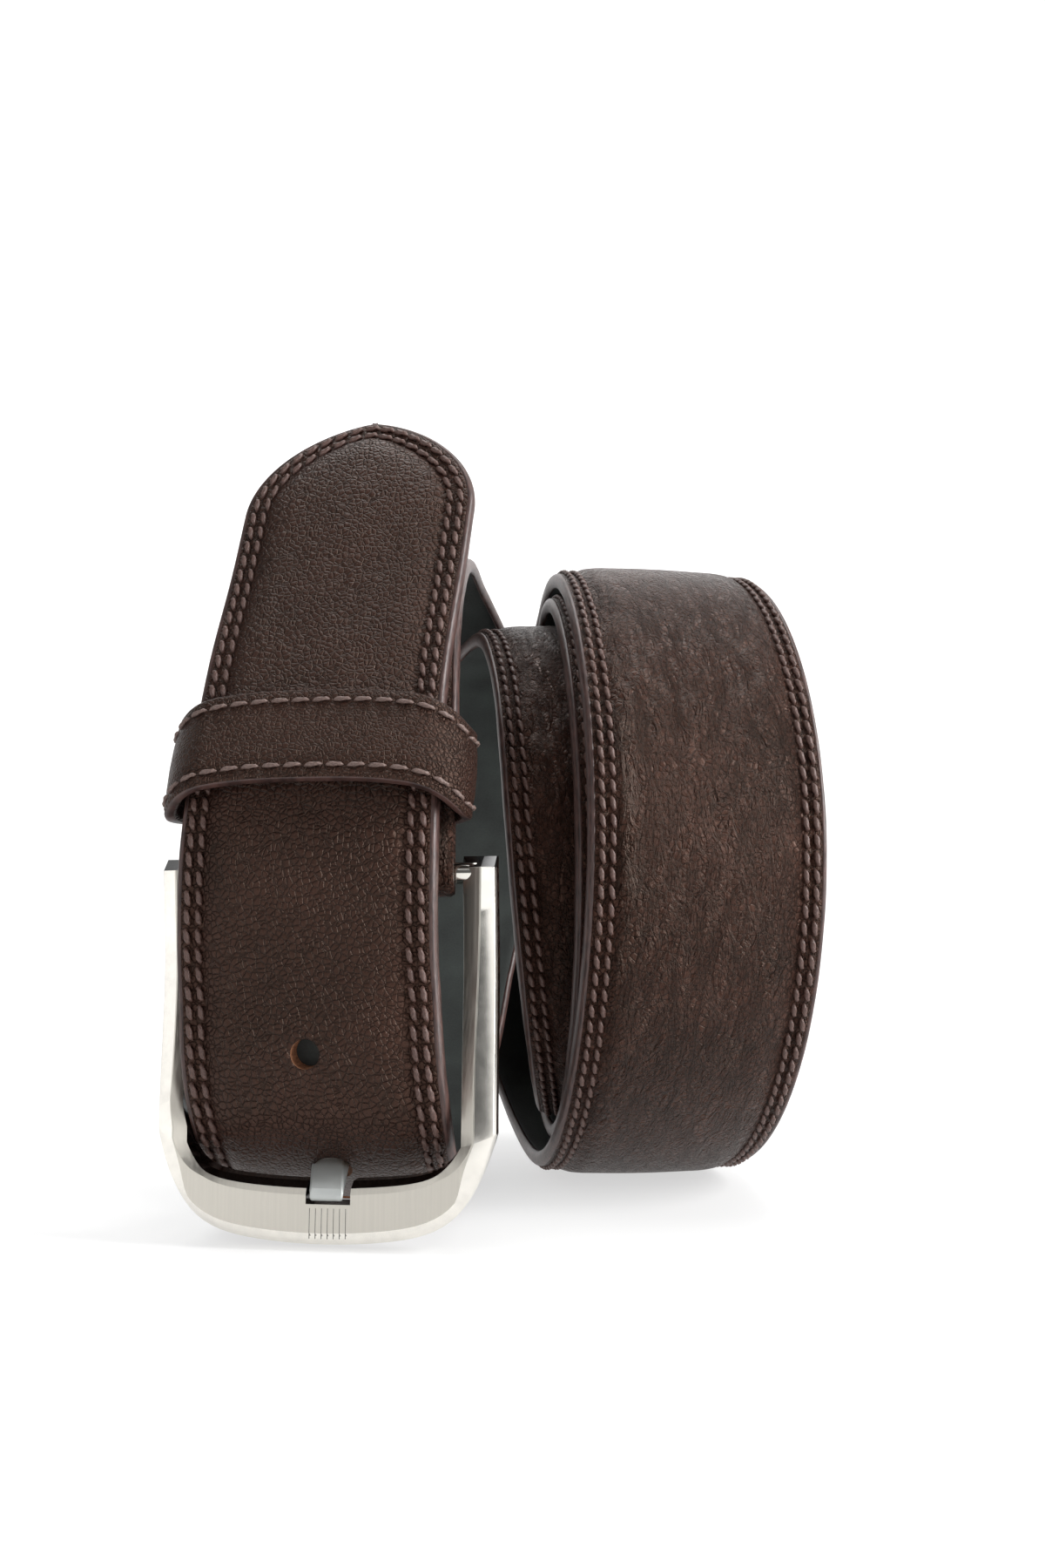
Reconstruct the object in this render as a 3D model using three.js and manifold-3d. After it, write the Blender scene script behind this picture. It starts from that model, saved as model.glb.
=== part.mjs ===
// A gentleman's leather belt, buckled into a loop and wound into a coil that stands on its side.
// Millimetres, +Z up. X runs along the coil's axis, the buckle is at the front (-Y) on the left.
// The strap is a padded, double-stitched strap of face leather, filler and lining. Its turned-back
// end holds the hinge bar of a single-prong buckle, and a keeper loop holds its free tip.
import * as THREE from "three";
import { mergeVertices } from "three/addons/utils/BufferGeometryUtils.js";
import Module from "manifold-3d";

const wasm = await Module();
wasm.setup();

// ---------- strap section ----------
const STRAP_WIDTH = 35;
const HALF_WIDTH = STRAP_WIDTH / 2;
const DOME_TOP = 1.9; // height of the padded middle over the strap's centre plane
const MARGIN_TOP = 0.75; // height of the flat stitched margin
const FACE_BOTTOM = -0.65; // underside of the face leather in the margin
const DOME_INNER = 0.45; // underside of the face leather over the filler
const DOME_HALF = 11; // half-width of the flat top of the padding
const DOME_FOOT = 13.6; // where the padding's slope meets the margin
const FILLER_HALF = 10.4;
const FILLER_FOOT = 12.6;
const FILLER_GAP = 0.1; // gap between the filler and the leather over it
const FILLER_BOTTOM = -0.62;
const FILLER_LEAST = 0.5; // the filler stops where the padding is this low
const LINING_TOP = -0.75;
const LINING_BOTTOM = -1.9;
const LINING_INSET = 0.25; // the lining stops this far inside the face leather's edge

// ---------- tip, padding and layer ends, as lengths along the strap from the tip ----------
const TIP_LENGTH = 18; // from the apex to the full width
const TIP_POWER = 0.7;
const APEX_CUT = 0.25; // the rounded apex is blunt over this length
const PAD_START = 12;
const PAD_FULL = 20;

// ---------- stitching ----------
const THREAD = 0.55; // side of a thread's square run
const THREAD_LIFT = 0.12; // gap under the thread
const OUTER_ROW = 1.6; // distance of the outer row from the strap's edge
const INNER_ROW = 3.2;

// ---------- coil ----------
// The strap's centre plane follows this route round the coil's axis: angle in degrees (0 at the
// front, 90 underneath, then up the back and over the top), radius, sideways place, and yaw of the
// strap's width in degrees. It starts at the tip and makes four turns.
const COIL_X = 2.55; // the coil's axis in the part's frame
const COIL_Y = 8;
const COIL_HEIGHT = 54.33; // and over the floor
const ROUTE = [
  [-56.2, 79.4, -23.2, -8],
  [-37.6, 66.6, -25.9, -8],
  [-21.8, 62.9, -27.9, -8],
  [-7, 64.1, -28.6, -8],
  [3.5, 66.3, -28.8, -8],
  [14.6, 67.9, -28.4, -8],
  [19.5, 69.3, -27.8, -8],
  [23.4, 70.4, -27.1, -8],
  [27, 71.3, -26.6, -8],
  [30.6, 71.8, -26.5, -8],
  [36.5, 71.5, -26.1, -8],
  [42.4, 69.0, -26.1, -8],
  [50, 65.1, -26.1, -8],
  [60, 60.3, -26.1, -7],
  [75, 54.28, -26.1, -7],
  [90, 52.43, -26.1, -7],
  [105, 47.8, -24.8, -6],
  [118, 43.6, -23.2, -5],
  [132, 40.4, -21.4, -4],
  [150, 38.8, -19.6, -3],
  [180, 38.4, -15.5, -2],
  [225, 39.4, -5.0, 0],
  [270, 41.4, 6.6, 2],
  [315, 42.6, 12.4, 3],
  [360, 43.2, 15.3, 4],
  [450, 43.5, 20.6, 5],
  [540, 43.6, 18.0, 6],
  [585, 45.5, 19.0, 7],
  [630, 47.4, 21.0, 7.7],
  [720, 47.8, 25.4, 7.7],
  [810, 47.8, 22.0, 7.7],
  [900, 47.9, 15.5, 7.7],
  [945, 49.8, 17.6, 7.7],
  [990, 51.7, 21.6, 7.7],
  [1080, 52.0, 27.0, 7.7],
  [1170, 52.43, 19.0, 6],
  [1215, 52.6, 10.5, 5],
  [1260, 53.2, -0.5, 2],
  [1305, 54.4, -15.5, -3],
  [1340, 54.6, -24.2, -6],
  [1365, 54.6, -26.3, -7],
  [1386, 54.9, -26.8, -8],
  [1402, 56.9, -26.6, -8],
  [1417, 58.9, -26.3, -8],
  [1432.5, 59.8, -26.1, -8],
];
const COIL_STEP = 15; // degrees between the coil's sections
const COIL_FIRST = 60; // the sections keep to whole steps from here
const COIL_LAST = 1380;

// ---------- buckle ----------
const BUCKLE_X = -26.1;
const BUCKLE_YAW = -8; // degrees about Z
const BAR_Y = -59.3; // hinge bar's centre from the coil's axis
const BAR_Z = -6;
const BAR_RADIUS = 1.5;
const BAR_SIDES = 12;
const BAR_FIT = 0.1; // gap round the bar in its blind holes
const BAR_IN_ARM = 3; // depth of each blind hole
const FRAME_HALF = 22.1; // half of the frame's outer width
const OPENING_HALF = 18.1; // half of the frame's opening
const ARM_TOP = 2.4; // the arms end this far above the bar's centre
const OUTER_BAR = 48.1; // lowest point of the outer bar under the hinge bar's centre
const OPENING_DROP = 40.2; // lowest point of the opening under the hinge bar's centre
const CORNER_DROP = 34; // where the arm's outer side starts to round
const FRAME_THICK = 4;
const FRAME_REACH = 3.6; // how far the outer bar stands in front of the hinge bar
const FRAME_DISH = 20; // the arms sweep forward below this drop
const NOTCH_HALF = 2.9;
const NOTCH_DEPTH = 2.7;
const PRONG_HALF = 2.05; // half of the prong's width
const PRONG_THICK = 2.2;
const PRONG_LOOP = 2.9; // outer radius of the prong's loop
const PRONG_FIT = 0.15; // running clearance of the loop on the bar

// ---------- turned-back fold ----------
const FOLD_RADIUS = 2.5; // centre plane's radius round the hinge bar
const FOLD_BEHIND = 3; // centre plane's distance behind the strap's
const FOLD_TOP_ANGLE = 1408;
const SLOT_HALF = 2.9; // half-width of the prong's slot in the fold
const SLOT_TOP = 8; // the slot reaches this far above the bar's centre
const CROSS_STITCH_HALF = 12;

// ---------- holes ----------
const HOLE_RADIUS = 2;
const HOLE_SIDES = 12;
const HOLE_PITCH = 18;
const USED_HOLE = 117.5; // from the apex, along the strap
const PRONG_HOLE_RADIUS = 3; // the used hole, stretched by the slanting prong
const PRONG_HOLE_DROP = 38; // its centre under the hinge bar
const PRONG_HOLE_BACK = 4; // and behind it
const PRONG_SLANT = 68; // the prong's lean where it comes through, in degrees
const HOLES_PAST = 3; // unused holes beyond the used one

// ---------- keeper ----------
const KEEPER_HEIGHT = 13.4;
const KEEPER_THICK = 1.8;
const KEEPER_HALF = 21; // half of its outer width
const KEEPER_DEPTH = 16.4; // outer size front to back
const KEEPER_CORNER = 4.6;
const KEEPER_ANGLE = -9.6; // where it sits on the strap's route
const KEEPER_SHIFT = 0.7; // its centre to the right of the tip's centre
const KEEPER_BACK = 3.8; // its centre behind the tip strap's centre plane
const KEEPER_ROW = 1.8; // its stitch rows from its edges

const DEG = Math.PI / 180;

const COLORS = {
  leather: 0x3c2826,
  lining: 0x1d1f20,
  filler: 0x8a7a66,
  thread: 0x5b4038,
  nickel: 0xb9b5ac,
};
const material = (color, roughness, metalness = 0) =>
  new THREE.MeshStandardMaterial({ color, roughness, metalness });

// ---------- route ----------
// A point on the route as angle, radius, x and yaw, by Catmull-Rom between the rows above.
function routeRow(angle) {
  let i = 0;
  while (i < ROUTE.length - 2 && ROUTE[i + 1][0] < angle) i += 1;
  const rows = [-1, 0, 1, 2].map((k) => ROUTE[THREE.MathUtils.clamp(i + k, 0, ROUTE.length - 1)]);
  const span = rows[2][0] - rows[1][0];
  const t = (angle - rows[1][0]) / span;
  return [1, 2, 3].map((c) => {
    const before = rows[2][0] - rows[0][0];
    const after = rows[3][0] - rows[1][0];
    const m1 = (span * (rows[2][c] - rows[0][c])) / before;
    const m2 = (span * (rows[3][c] - rows[1][c])) / after;
    const t2 = t * t;
    const t3 = t2 * t;
    return (2 * t3 - 3 * t2 + 1) * rows[1][c] + (t3 - 2 * t2 + t) * m1
      + (3 * t2 - 2 * t3) * rows[2][c] + (t3 - t2) * m2;
  });
}

function routePoint(angle) {
  const [radius, x] = routeRow(angle);
  return new THREE.Vector3(
    x,
    -radius * Math.cos(angle * DEG),
    -radius * Math.sin(angle * DEG),
  );
}

// Frame of the strap at an angle: its place, its width direction and its outward normal.
function routeFrame(angle) {
  const yaw = routeRow(angle)[2] * DEG;
  const tangent = routePoint(angle + 0.5).sub(routePoint(angle - 0.5)).normalize();
  return stripFrame(routePoint(angle), tangent, yaw);
}

// Sections run along the coil's axis, as a flat strap wound on a cylinder does, so they are longer
// than the strap is wide where it crosses the axis at a slant.
function stripFrame(place, tangent, yaw) {
  const axis = new THREE.Vector3(Math.cos(yaw), Math.sin(yaw), 0);
  const normal = new THREE.Vector3().crossVectors(tangent, axis);
  const width = axis.divideScalar(normal.length());
  return { place, width, normal: normal.normalize(), length: 0 };
}

// Frames along the main strap, from the apex to the lining's end, each with its length from the
// apex. The first ones are close together for the tip's outline.
function strapFrames() {
  const first = ROUTE[0][0];
  const last = ROUTE[ROUTE.length - 1][0];
  const angles = [0, 0.5, 1.3, 2.3, 3.6, 5.2, 7.2, 10, 13.5].map((a) => first + a);
  for (let a = first + 20; a < COIL_FIRST - 8; a += 9) angles.push(a);
  for (let a = COIL_FIRST; a <= COIL_LAST; a += COIL_STEP) angles.push(a);
  for (let a = COIL_LAST + 8; a < last - 4; a += 8) angles.push(a);
  angles.push(last);
  const frames = angles.map(routeFrame);
  frames.slice(1).forEach((frame, i) => {
    let length = 0;
    const steps = 8;
    for (let k = 0; k < steps; k += 1) {
      const a = THREE.MathUtils.lerp(angles[i], angles[i + 1], k / steps);
      const b = THREE.MathUtils.lerp(angles[i], angles[i + 1], (k + 1) / steps);
      length += routePoint(a).distanceTo(routePoint(b));
    }
    frame.length = frames[i].length + length;
  });
  return frames;
}

// The face leather runs on past the lining: down to the hinge bar, round it and up behind.
function foldFrames(start) {
  const yaw = BUCKLE_YAW * DEG;
  const points = [];
  const add = (y, z) => points.push(new THREE.Vector3(BUCKLE_X, y, z));
  add(BAR_Y - 1.6, BAR_Z + 8);
  add(BAR_Y - FOLD_RADIUS + 0.1, BAR_Z + 4);
  for (let a = 0; a <= 180; a += 30) {
    add(BAR_Y - FOLD_RADIUS * Math.cos(a * DEG), BAR_Z - FOLD_RADIUS * Math.sin(a * DEG));
  }
  add(BAR_Y + FOLD_RADIUS + 0.1, BAR_Z + 4.5);
  for (let a = ROUTE[ROUTE.length - 1][0] - 1; a >= FOLD_TOP_ANGLE; a -= 8) {
    const frame = routeFrame(a);
    const point = frame.place.addScaledVector(frame.normal, -FOLD_BEHIND);
    add(point.y, point.z);
  }
  const all = [start.place, ...points];
  return points.map((place, i) => {
    const next = all[Math.min(i + 2, all.length - 1)];
    const tangent = next.clone().sub(all[i]).normalize();
    const frame = stripFrame(place, tangent, yaw);
    frame.length = start.length + 1 + i;
    return frame;
  });
}

// ---------- sweeping ----------
// A closed solid through rings of points that all run the same way round, first over the top from
// right to left and then back underneath. Both halves of a ring split their quads along the same
// diagonal, so layers that lie on each other stay parallel where the strap twists.
function loft(rings) {
  const count = rings[0].length;
  const position = rings.flat().flatMap((p) => [p.x, p.y, p.z]);
  const index = [];
  for (let i = 0; i < rings.length - 1; i += 1) {
    for (let j = 0; j < count; j += 1) {
      const a = i * count + j;
      const b = i * count + ((j + 1) % count);
      if (j < count / 2) index.push(a, b, b + count, a, b + count, a + count);
      else index.push(a, b, a + count, b, b + count, a + count);
    }
  }
  capEnd(count, 0, index, true);
  capEnd(count, (rings.length - 1) * count, index, false);
  const geometry = new THREE.BufferGeometry();
  geometry.setAttribute("position", new THREE.Float32BufferAttribute(position, 3));
  geometry.setIndex(index);
  return facingOut(geometry);
}

// Closes one end of a loft with strips between the two halves of the ring, which mirror each other.
function capEnd(count, offset, index, first) {
  for (let j = 0; j < count / 2 - 1; j += 1) {
    const quad = [j, j + 1, count - 2 - j, count - 1 - j].map((k) => k + offset);
    if (first) quad.reverse();
    index.push(quad[0], quad[1], quad[2], quad[0], quad[2], quad[3]);
  }
}

// Turns a closed geometry's triangles over if they face in.
function facingOut(geometry) {
  const position = geometry.getAttribute("position");
  const index = geometry.index.array;
  const corner = (i) => new THREE.Vector3().fromBufferAttribute(position, index[i]);
  let volume = 0;
  for (let i = 0; i < index.length; i += 3) {
    volume += corner(i).dot(corner(i + 1).cross(corner(i + 2)));
  }
  if (volume < 0) {
    for (let i = 0; i < index.length; i += 3) {
      [index[i + 1], index[i + 2]] = [index[i + 2], index[i + 1]];
    }
  }
  return geometry;
}

const onStrap = (frame, across, height) =>
  frame.place.clone().addScaledVector(frame.width, across).addScaledVector(frame.normal, height);

// ---------- booleans ----------
function toManifold(geometry) {
  const bare = geometry.clone();
  bare.deleteAttribute("normal");
  bare.deleteAttribute("uv");
  const merged = mergeVertices(bare, 1e-5);
  const triVerts = new Uint32Array(merged.index.array);
  const vertProperties = new Float32Array(merged.getAttribute("position").array);
  return new wasm.Manifold(new wasm.Mesh({ numProp: 3, vertProperties, triVerts }));
}

function fromManifold(solid) {
  const mesh = solid.getMesh();
  const geometry = new THREE.BufferGeometry();
  geometry.setAttribute("position", new THREE.BufferAttribute(mesh.vertProperties, 3));
  geometry.setIndex(new THREE.BufferAttribute(mesh.triVerts, 1));
  return geometry;
}

const cut = (geometry, tools) =>
  fromManifold(tools.reduce((solid, tool) => solid.subtract(toManifold(tool)), toManifold(geometry)));

// ---------- strap ----------
// Half-width of the strap at a length from the apex.
function halfWidth(length) {
  if (length >= TIP_LENGTH) return HALF_WIDTH;
  const t = (TIP_LENGTH - Math.max(length, APEX_CUT)) / TIP_LENGTH;
  return HALF_WIDTH * (1 - t * t) ** TIP_POWER;
}

// How full the padding is, from 0 in the thin ends to 1 along the strap.
function padding(length, total) {
  const fromTip = THREE.MathUtils.smoothstep(length, PAD_START, PAD_FULL);
  const fromFold = THREE.MathUtils.smoothstep(total - length, 2, 14);
  return Math.min(fromTip, fromFold);
}

function faceRing(frame, total) {
  const half = halfWidth(frame.length);
  const pad = frame.length > total ? 0 : padding(frame.length, total);
  const scale = half / HALF_WIDTH;
  const top = THREE.MathUtils.lerp(MARGIN_TOP, DOME_TOP, pad);
  const inner = THREE.MathUtils.lerp(FACE_BOTTOM, DOME_INNER, pad);
  const side = [
    [half, MARGIN_TOP - 0.15],
    [DOME_FOOT * scale, MARGIN_TOP],
    [DOME_HALF * scale, top],
  ];
  const under = [
    [DOME_HALF * scale, inner],
    [DOME_FOOT * scale - 0.3, FACE_BOTTOM],
    [half, FACE_BOTTOM + 0.05],
  ];
  const mirror = (list) => list.map(([u, n]) => [-u, n]).reverse();
  return [...side, ...mirror(side), ...mirror(under), ...under]
    .map(([u, n]) => onStrap(frame, u, n));
}

function fillerRing(frame, total) {
  const scale = halfWidth(frame.length) / HALF_WIDTH;
  const pad = padding(frame.length, total);
  const top = THREE.MathUtils.lerp(FACE_BOTTOM, DOME_INNER, pad) - FILLER_GAP;
  return [[FILLER_FOOT, FILLER_BOTTOM], [FILLER_HALF, top], [-FILLER_HALF, top],
    [-FILLER_FOOT, FILLER_BOTTOM]].map(([u, n]) => onStrap(frame, u * scale, n));
}

function liningRing(frame) {
  const half = halfWidth(frame.length) - LINING_INSET;
  return [[half, LINING_TOP], [-half, LINING_TOP], [-half, LINING_BOTTOM], [half, LINING_BOTTOM]]
    .map(([u, n]) => onStrap(frame, u, n));
}

// A hole punched square through the strap at a length from the apex.
function punch(frames, length, radius) {
  const i = frames.findIndex((frame) => frame.length > length);
  const before = frames[i - 1];
  const t = (length - before.length) / (frames[i].length - before.length);
  const place = before.place.clone().lerp(frames[i].place, t);
  const normal = before.normal.clone().lerp(frames[i].normal, t).normalize();
  const geometry = new THREE.CylinderGeometry(radius, radius, 9, HOLE_SIDES);
  const turn = new THREE.Quaternion().setFromUnitVectors(new THREE.Vector3(0, 1, 0), normal);
  return geometry.applyQuaternion(turn).translate(place.x, place.y, place.z);
}

// The used hole runs along the prong.
function prongHole() {
  const geometry = new THREE.CylinderGeometry(PRONG_HOLE_RADIUS, PRONG_HOLE_RADIUS, 11, HOLE_SIDES);
  geometry.rotateX((90 - PRONG_SLANT) * DEG);
  return buckleSpace(geometry.translate(0, PRONG_HOLE_BACK, -PRONG_HOLE_DROP));
}

function punches(frames) {
  const list = [prongHole()];
  for (let k = -1; k <= HOLES_PAST; k += 1) {
    if (k !== 0) list.push(punch(frames, USED_HOLE + k * HOLE_PITCH, HOLE_RADIUS));
  }
  return list;
}

// The prong's way out through the fold.
function prongSlot() {
  const geometry = new THREE.BoxGeometry(2 * SLOT_HALF, 12, SLOT_TOP + 6);
  geometry.rotateZ(BUCKLE_YAW * DEG);
  return geometry.translate(BUCKLE_X, BAR_Y, BAR_Z + (SLOT_TOP - 6) / 2);
}

// One thread's run along both edges and round the tip, a set distance inside the outline.
function threadRing(place, width, normal) {
  const half = THREAD / 2;
  return [[1, 1], [-1, 1], [-1, -1], [1, -1]].map(([u, n]) =>
    place.clone().addScaledVector(width, u * half).addScaledVector(normal, n * half));
}

function strapThread(frames, inset) {
  const height = MARGIN_TOP + THREAD_LIFT + THREAD / 2;
  const straight = frames.filter((frame) => frame.length > TIP_LENGTH);
  const side = (sign) => straight.map((frame) => {
    const place = onStrap(frame, sign * (HALF_WIDTH - inset), height);
    return { place, width: frame.width.clone().multiplyScalar(sign), normal: frame.normal };
  });
  const outline = [];
  for (let k = 1; k < 12; k += 1) {
    const length = TIP_LENGTH * (1 - Math.cos((k / 12) * (Math.PI / 2)));
    outline.push([length, halfWidth(length)]);
  }
  const tip = outline.map(([length, half], i) => {
    const [l0, h0] = outline[Math.max(i - 1, 0)];
    const [l1, h1] = outline[Math.min(i + 1, outline.length - 1)];
    const size = Math.hypot(l1 - l0, h1 - h0);
    return [length + (inset * (h1 - h0)) / size, half - (inset * (l1 - l0)) / size,
      (h1 - h0) / size, (l1 - l0) / size];
  }).filter(([, half]) => half > 1.2);
  const tipSide = (sign) => tip.map(([length, half, along, across]) => {
    const i = frames.findIndex((frame) => frame.length > length);
    const before = frames[i - 1];
    const t = (length - before.length) / (frames[i].length - before.length);
    const frame = {
      place: before.place.clone().lerp(frames[i].place, t),
      width: before.width,
      normal: before.normal.clone().lerp(frames[i].normal, t).normalize(),
    };
    const forward = new THREE.Vector3().crossVectors(frame.width, frame.normal);
    const width = frame.width.clone().multiplyScalar(sign * across)
      .addScaledVector(forward, -along);
    return { place: onStrap(frame, sign * half, height), width: width.normalize(),
      normal: frame.normal };
  });
  const run = [...side(1).reverse(), ...tipSide(1).reverse(), ...tipSide(-1), ...side(-1)];
  return loft(run.map(({ place, width, normal }) => threadRing(place, width, normal)));
}

// A straight row of thread across the turned-back fold, on the side that faces the coil.
function crossStitch(frames) {
  const frame = frames[frames.length - 2];
  const height = MARGIN_TOP + THREAD_LIFT + THREAD / 2;
  const along = new THREE.Vector3().crossVectors(frame.width, frame.normal);
  const ends = [-CROSS_STITCH_HALF, CROSS_STITCH_HALF].map((u) => onStrap(frame, u, height));
  return loft(ends.map((place) => threadRing(place, along, frame.normal)));
}

// ---------- buckle ----------
// How far the frame's middle stands in front of the hinge bar at a drop below it.
function frameForward(drop) {
  return FRAME_REACH * THREE.MathUtils.smoothstep(drop, FRAME_DISH - 12, OPENING_DROP);
}

// Outer half-width of the frame at a drop, and the drop of its lower edge at a half-width.
function lowerEdge(u) {
  const t = Math.abs(u) / FRAME_HALF;
  return OUTER_BAR - 3.4 * t ** 2 - (OUTER_BAR - CORNER_DROP - 3.4) * t ** 9;
}

function openingEdge(u) {
  const t = Math.abs(u) / OPENING_HALF;
  return OPENING_DROP - 1.5 * t ** 2 - 3 * t ** 14;
}

// The frame as sections across its U-shaped run, from the left arm's end to the right one's.
function frameSections() {
  const list = [];
  const arm = [-ARM_TOP, 2, 8, 14, 20, 25, 30, CORNER_DROP];
  const armSections = (sign) => arm.map((drop) => ({
    inner: [sign * OPENING_HALF, drop],
    outer: [sign * FRAME_HALF, drop],
  }));
  const across = [-0.97, -0.9, -0.78, -0.6, -0.4, -0.2, -0.1, 0.1, 0.2, 0.4, 0.6, 0.78, 0.9, 0.97];
  list.push(...armSections(-1));
  across.forEach((t) => list.push({
    inner: [t * OPENING_HALF, openingEdge(t * OPENING_HALF)],
    outer: [t * FRAME_HALF, lowerEdge(t * FRAME_HALF)],
  }));
  list.push(...armSections(1).reverse());
  return list;
}

// Buckle coordinates: u along the hinge bar, drop below it, forward of it.
function buckleSpace(geometry) {
  return geometry.rotateZ(BUCKLE_YAW * DEG).translate(BUCKLE_X, BAR_Y, BAR_Z);
}

function frameGeometry() {
  const half = FRAME_THICK / 2;
  const rings = frameSections().map(({ inner, outer }) => {
    const at = (t, forward) => {
      const u = THREE.MathUtils.lerp(inner[0], outer[0], t);
      const drop = THREE.MathUtils.lerp(inner[1], outer[1], t);
      return new THREE.Vector3(u, -(frameForward(drop) + forward), -drop);
    };
    return [at(0, -half), at(0.2, half), at(0.72, half), at(1, half - 1.6), at(1, 0.8 - half),
      at(0.85, -half)];
  });
  const notch = new THREE.BoxGeometry(2 * NOTCH_HALF, 3 * FRAME_THICK, 2 * NOTCH_DEPTH);
  notch.translate(0, -FRAME_REACH, -OPENING_DROP);
  const bore = new THREE.CylinderGeometry(
    BAR_RADIUS + BAR_FIT, BAR_RADIUS + BAR_FIT, 2 * (OPENING_HALF + BAR_IN_ARM), BAR_SIDES);
  bore.rotateZ(90 * DEG);
  return buckleSpace(cut(loft(rings), [notch, bore]));
}

function hingeBarGeometry() {
  const length = 2 * (OPENING_HALF + BAR_IN_ARM) - 0.4;
  const bar = new THREE.CylinderGeometry(BAR_RADIUS, BAR_RADIUS, length, BAR_SIDES);
  return buckleSpace(bar.rotateZ(90 * DEG));
}

// The prong's side outline: a loop over the bar, a shank behind the strap, and a tip that comes
// forward through the strap's hole to rest in the notch.
function prongGeometry() {
  const front = [];
  const back = [];
  const shank = PRONG_LOOP - PRONG_THICK;
  for (let a = 200; a >= 0; a -= 25) {
    back.push([PRONG_LOOP * Math.cos(a * DEG), PRONG_LOOP * Math.sin(a * DEG)]);
  }
  back.push([PRONG_LOOP - 0.1, -20], [4.7, -28.5], [7.4, -34.2], [7.2, -36.6], [4.6, -39],
    [-4.2, -42.2], [-5.4, -42.4]);
  front.push([-6.4, -41.9], [-6.4, -40.9], [-5.6, -40.3], [3.8, -37], [5.3, -35.6], [5.2, -34.4],
    [2.7, -28.8], [shank, -20], [shank, -3.6]);
  const bore = BAR_RADIUS + PRONG_FIT;
  const inner = [];
  for (let a = -45; a <= 200; a += 35) {
    inner.push([bore * Math.cos(a * DEG), bore * Math.sin(a * DEG)]);
  }
  const shape = new THREE.Shape([...back, ...front, ...inner].map(([y, z]) => new THREE.Vector2(y, z)));
  const solid = new THREE.ExtrudeGeometry(shape, { depth: 2 * PRONG_HALF, bevelEnabled: false });
  solid.translate(0, 0, -PRONG_HALF);
  const turn = new THREE.Matrix4().makeBasis(
    new THREE.Vector3(0, 1, 0), new THREE.Vector3(0, 0, 1), new THREE.Vector3(1, 0, 0));
  return buckleSpace(solid.applyMatrix4(turn));
}

// ---------- keeper ----------
function roundedOutline(halfX, halfY, radius) {
  const shape = new THREE.Shape();
  shape.moveTo(-halfX + radius, -halfY);
  shape.lineTo(halfX - radius, -halfY);
  shape.absarc(halfX - radius, -halfY + radius, radius, -90 * DEG, 0);
  shape.absarc(halfX - radius, halfY - radius, radius, 0, 90 * DEG);
  shape.absarc(-halfX + radius, halfY - radius, radius, 90 * DEG, 180 * DEG);
  shape.absarc(-halfX + radius, -halfY + radius, radius, 180 * DEG, 270 * DEG);
  return shape;
}

function loopGeometry(inset, thick, height, level) {
  const halfX = KEEPER_HALF - inset;
  const halfY = KEEPER_DEPTH / 2 - inset;
  const outline = roundedOutline(halfX, halfY, KEEPER_CORNER - inset);
  outline.holes.push(roundedOutline(halfX - thick, halfY - thick, KEEPER_CORNER - inset - thick));
  const solid = new THREE.ExtrudeGeometry(
    outline, { depth: height, bevelEnabled: false, curveSegments: 4 });
  return solid.translate(0, 0, level - height / 2);
}

function keeperPlace(group) {
  const frame = routeFrame(KEEPER_ANGLE);
  const up = new THREE.Vector3().crossVectors(frame.width, frame.normal).negate();
  if (up.z < 0) up.negate();
  const basis = new THREE.Matrix4().makeBasis(
    frame.width, new THREE.Vector3().crossVectors(up, frame.width), up);
  group.quaternion.setFromRotationMatrix(basis);
  group.position.copy(onStrap(frame, KEEPER_SHIFT, -KEEPER_BACK));
  return group;
}

// ---------- assembly ----------
const belt = new THREE.Group();
const coil = new THREE.Group();
coil.position.set(COIL_X, COIL_Y, COIL_HEIGHT);
belt.add(coil);

function part(name, geometry, look, parent = coil) {
  const mesh = new THREE.Mesh(geometry, look);
  mesh.name = name;
  parent.add(mesh);
  return mesh;
}

const frames = strapFrames();
const total = frames[frames.length - 1].length;
const fold = foldFrames(frames[frames.length - 1]);
const leather = material(COLORS.leather, 0.45);
const thread = material(COLORS.thread, 0.6);
const nickel = material(COLORS.nickel, 0.3, 1);

const faceSolid = loft([...frames, ...fold].map((frame) => faceRing(frame, total)));
const fillerFrames = frames.filter((frame) => padding(frame.length, total) > FILLER_LEAST);
const fillerSolid = loft(fillerFrames.map((frame) => fillerRing(frame, total)));
const liningSolid = loft(frames.slice(1).map(liningRing));

part("strap_face_leather", cut(faceSolid, [...punches(frames), prongSlot()]), leather);
part("strap_filler", cut(fillerSolid, punches(frames)), material(COLORS.filler, 0.9));
part("strap_lining", cut(liningSolid, punches(frames)), material(COLORS.lining, 0.8));
part("outer_edge_thread", strapThread(frames, OUTER_ROW), thread);
part("inner_edge_thread", strapThread(frames, INNER_ROW), thread);
part("fold_cross_thread", crossStitch(fold), thread);

part("buckle_frame", frameGeometry(), nickel);
part("hinge_bar", hingeBarGeometry(), nickel);
part("prong", prongGeometry(), nickel);

const keeper = keeperPlace(new THREE.Group());
coil.add(keeper);
const rowLevel = KEEPER_HEIGHT / 2 - KEEPER_ROW;
part("keeper_band", loopGeometry(0, KEEPER_THICK, KEEPER_HEIGHT, 0), leather, keeper);
part("keeper_upper_thread", loopGeometry(-THREAD - THREAD_LIFT, THREAD, THREAD, rowLevel), thread, keeper);
part("keeper_lower_thread", loopGeometry(-THREAD - THREAD_LIFT, THREAD, THREAD, -rowLevel), thread, keeper);

export default belt;
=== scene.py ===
# Looks for the buckled and coiled leather belt: the padded strap with its painted edges and real
# stitches, the keeper, and the nickel buckle, in metres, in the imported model's frame.
import math

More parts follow.
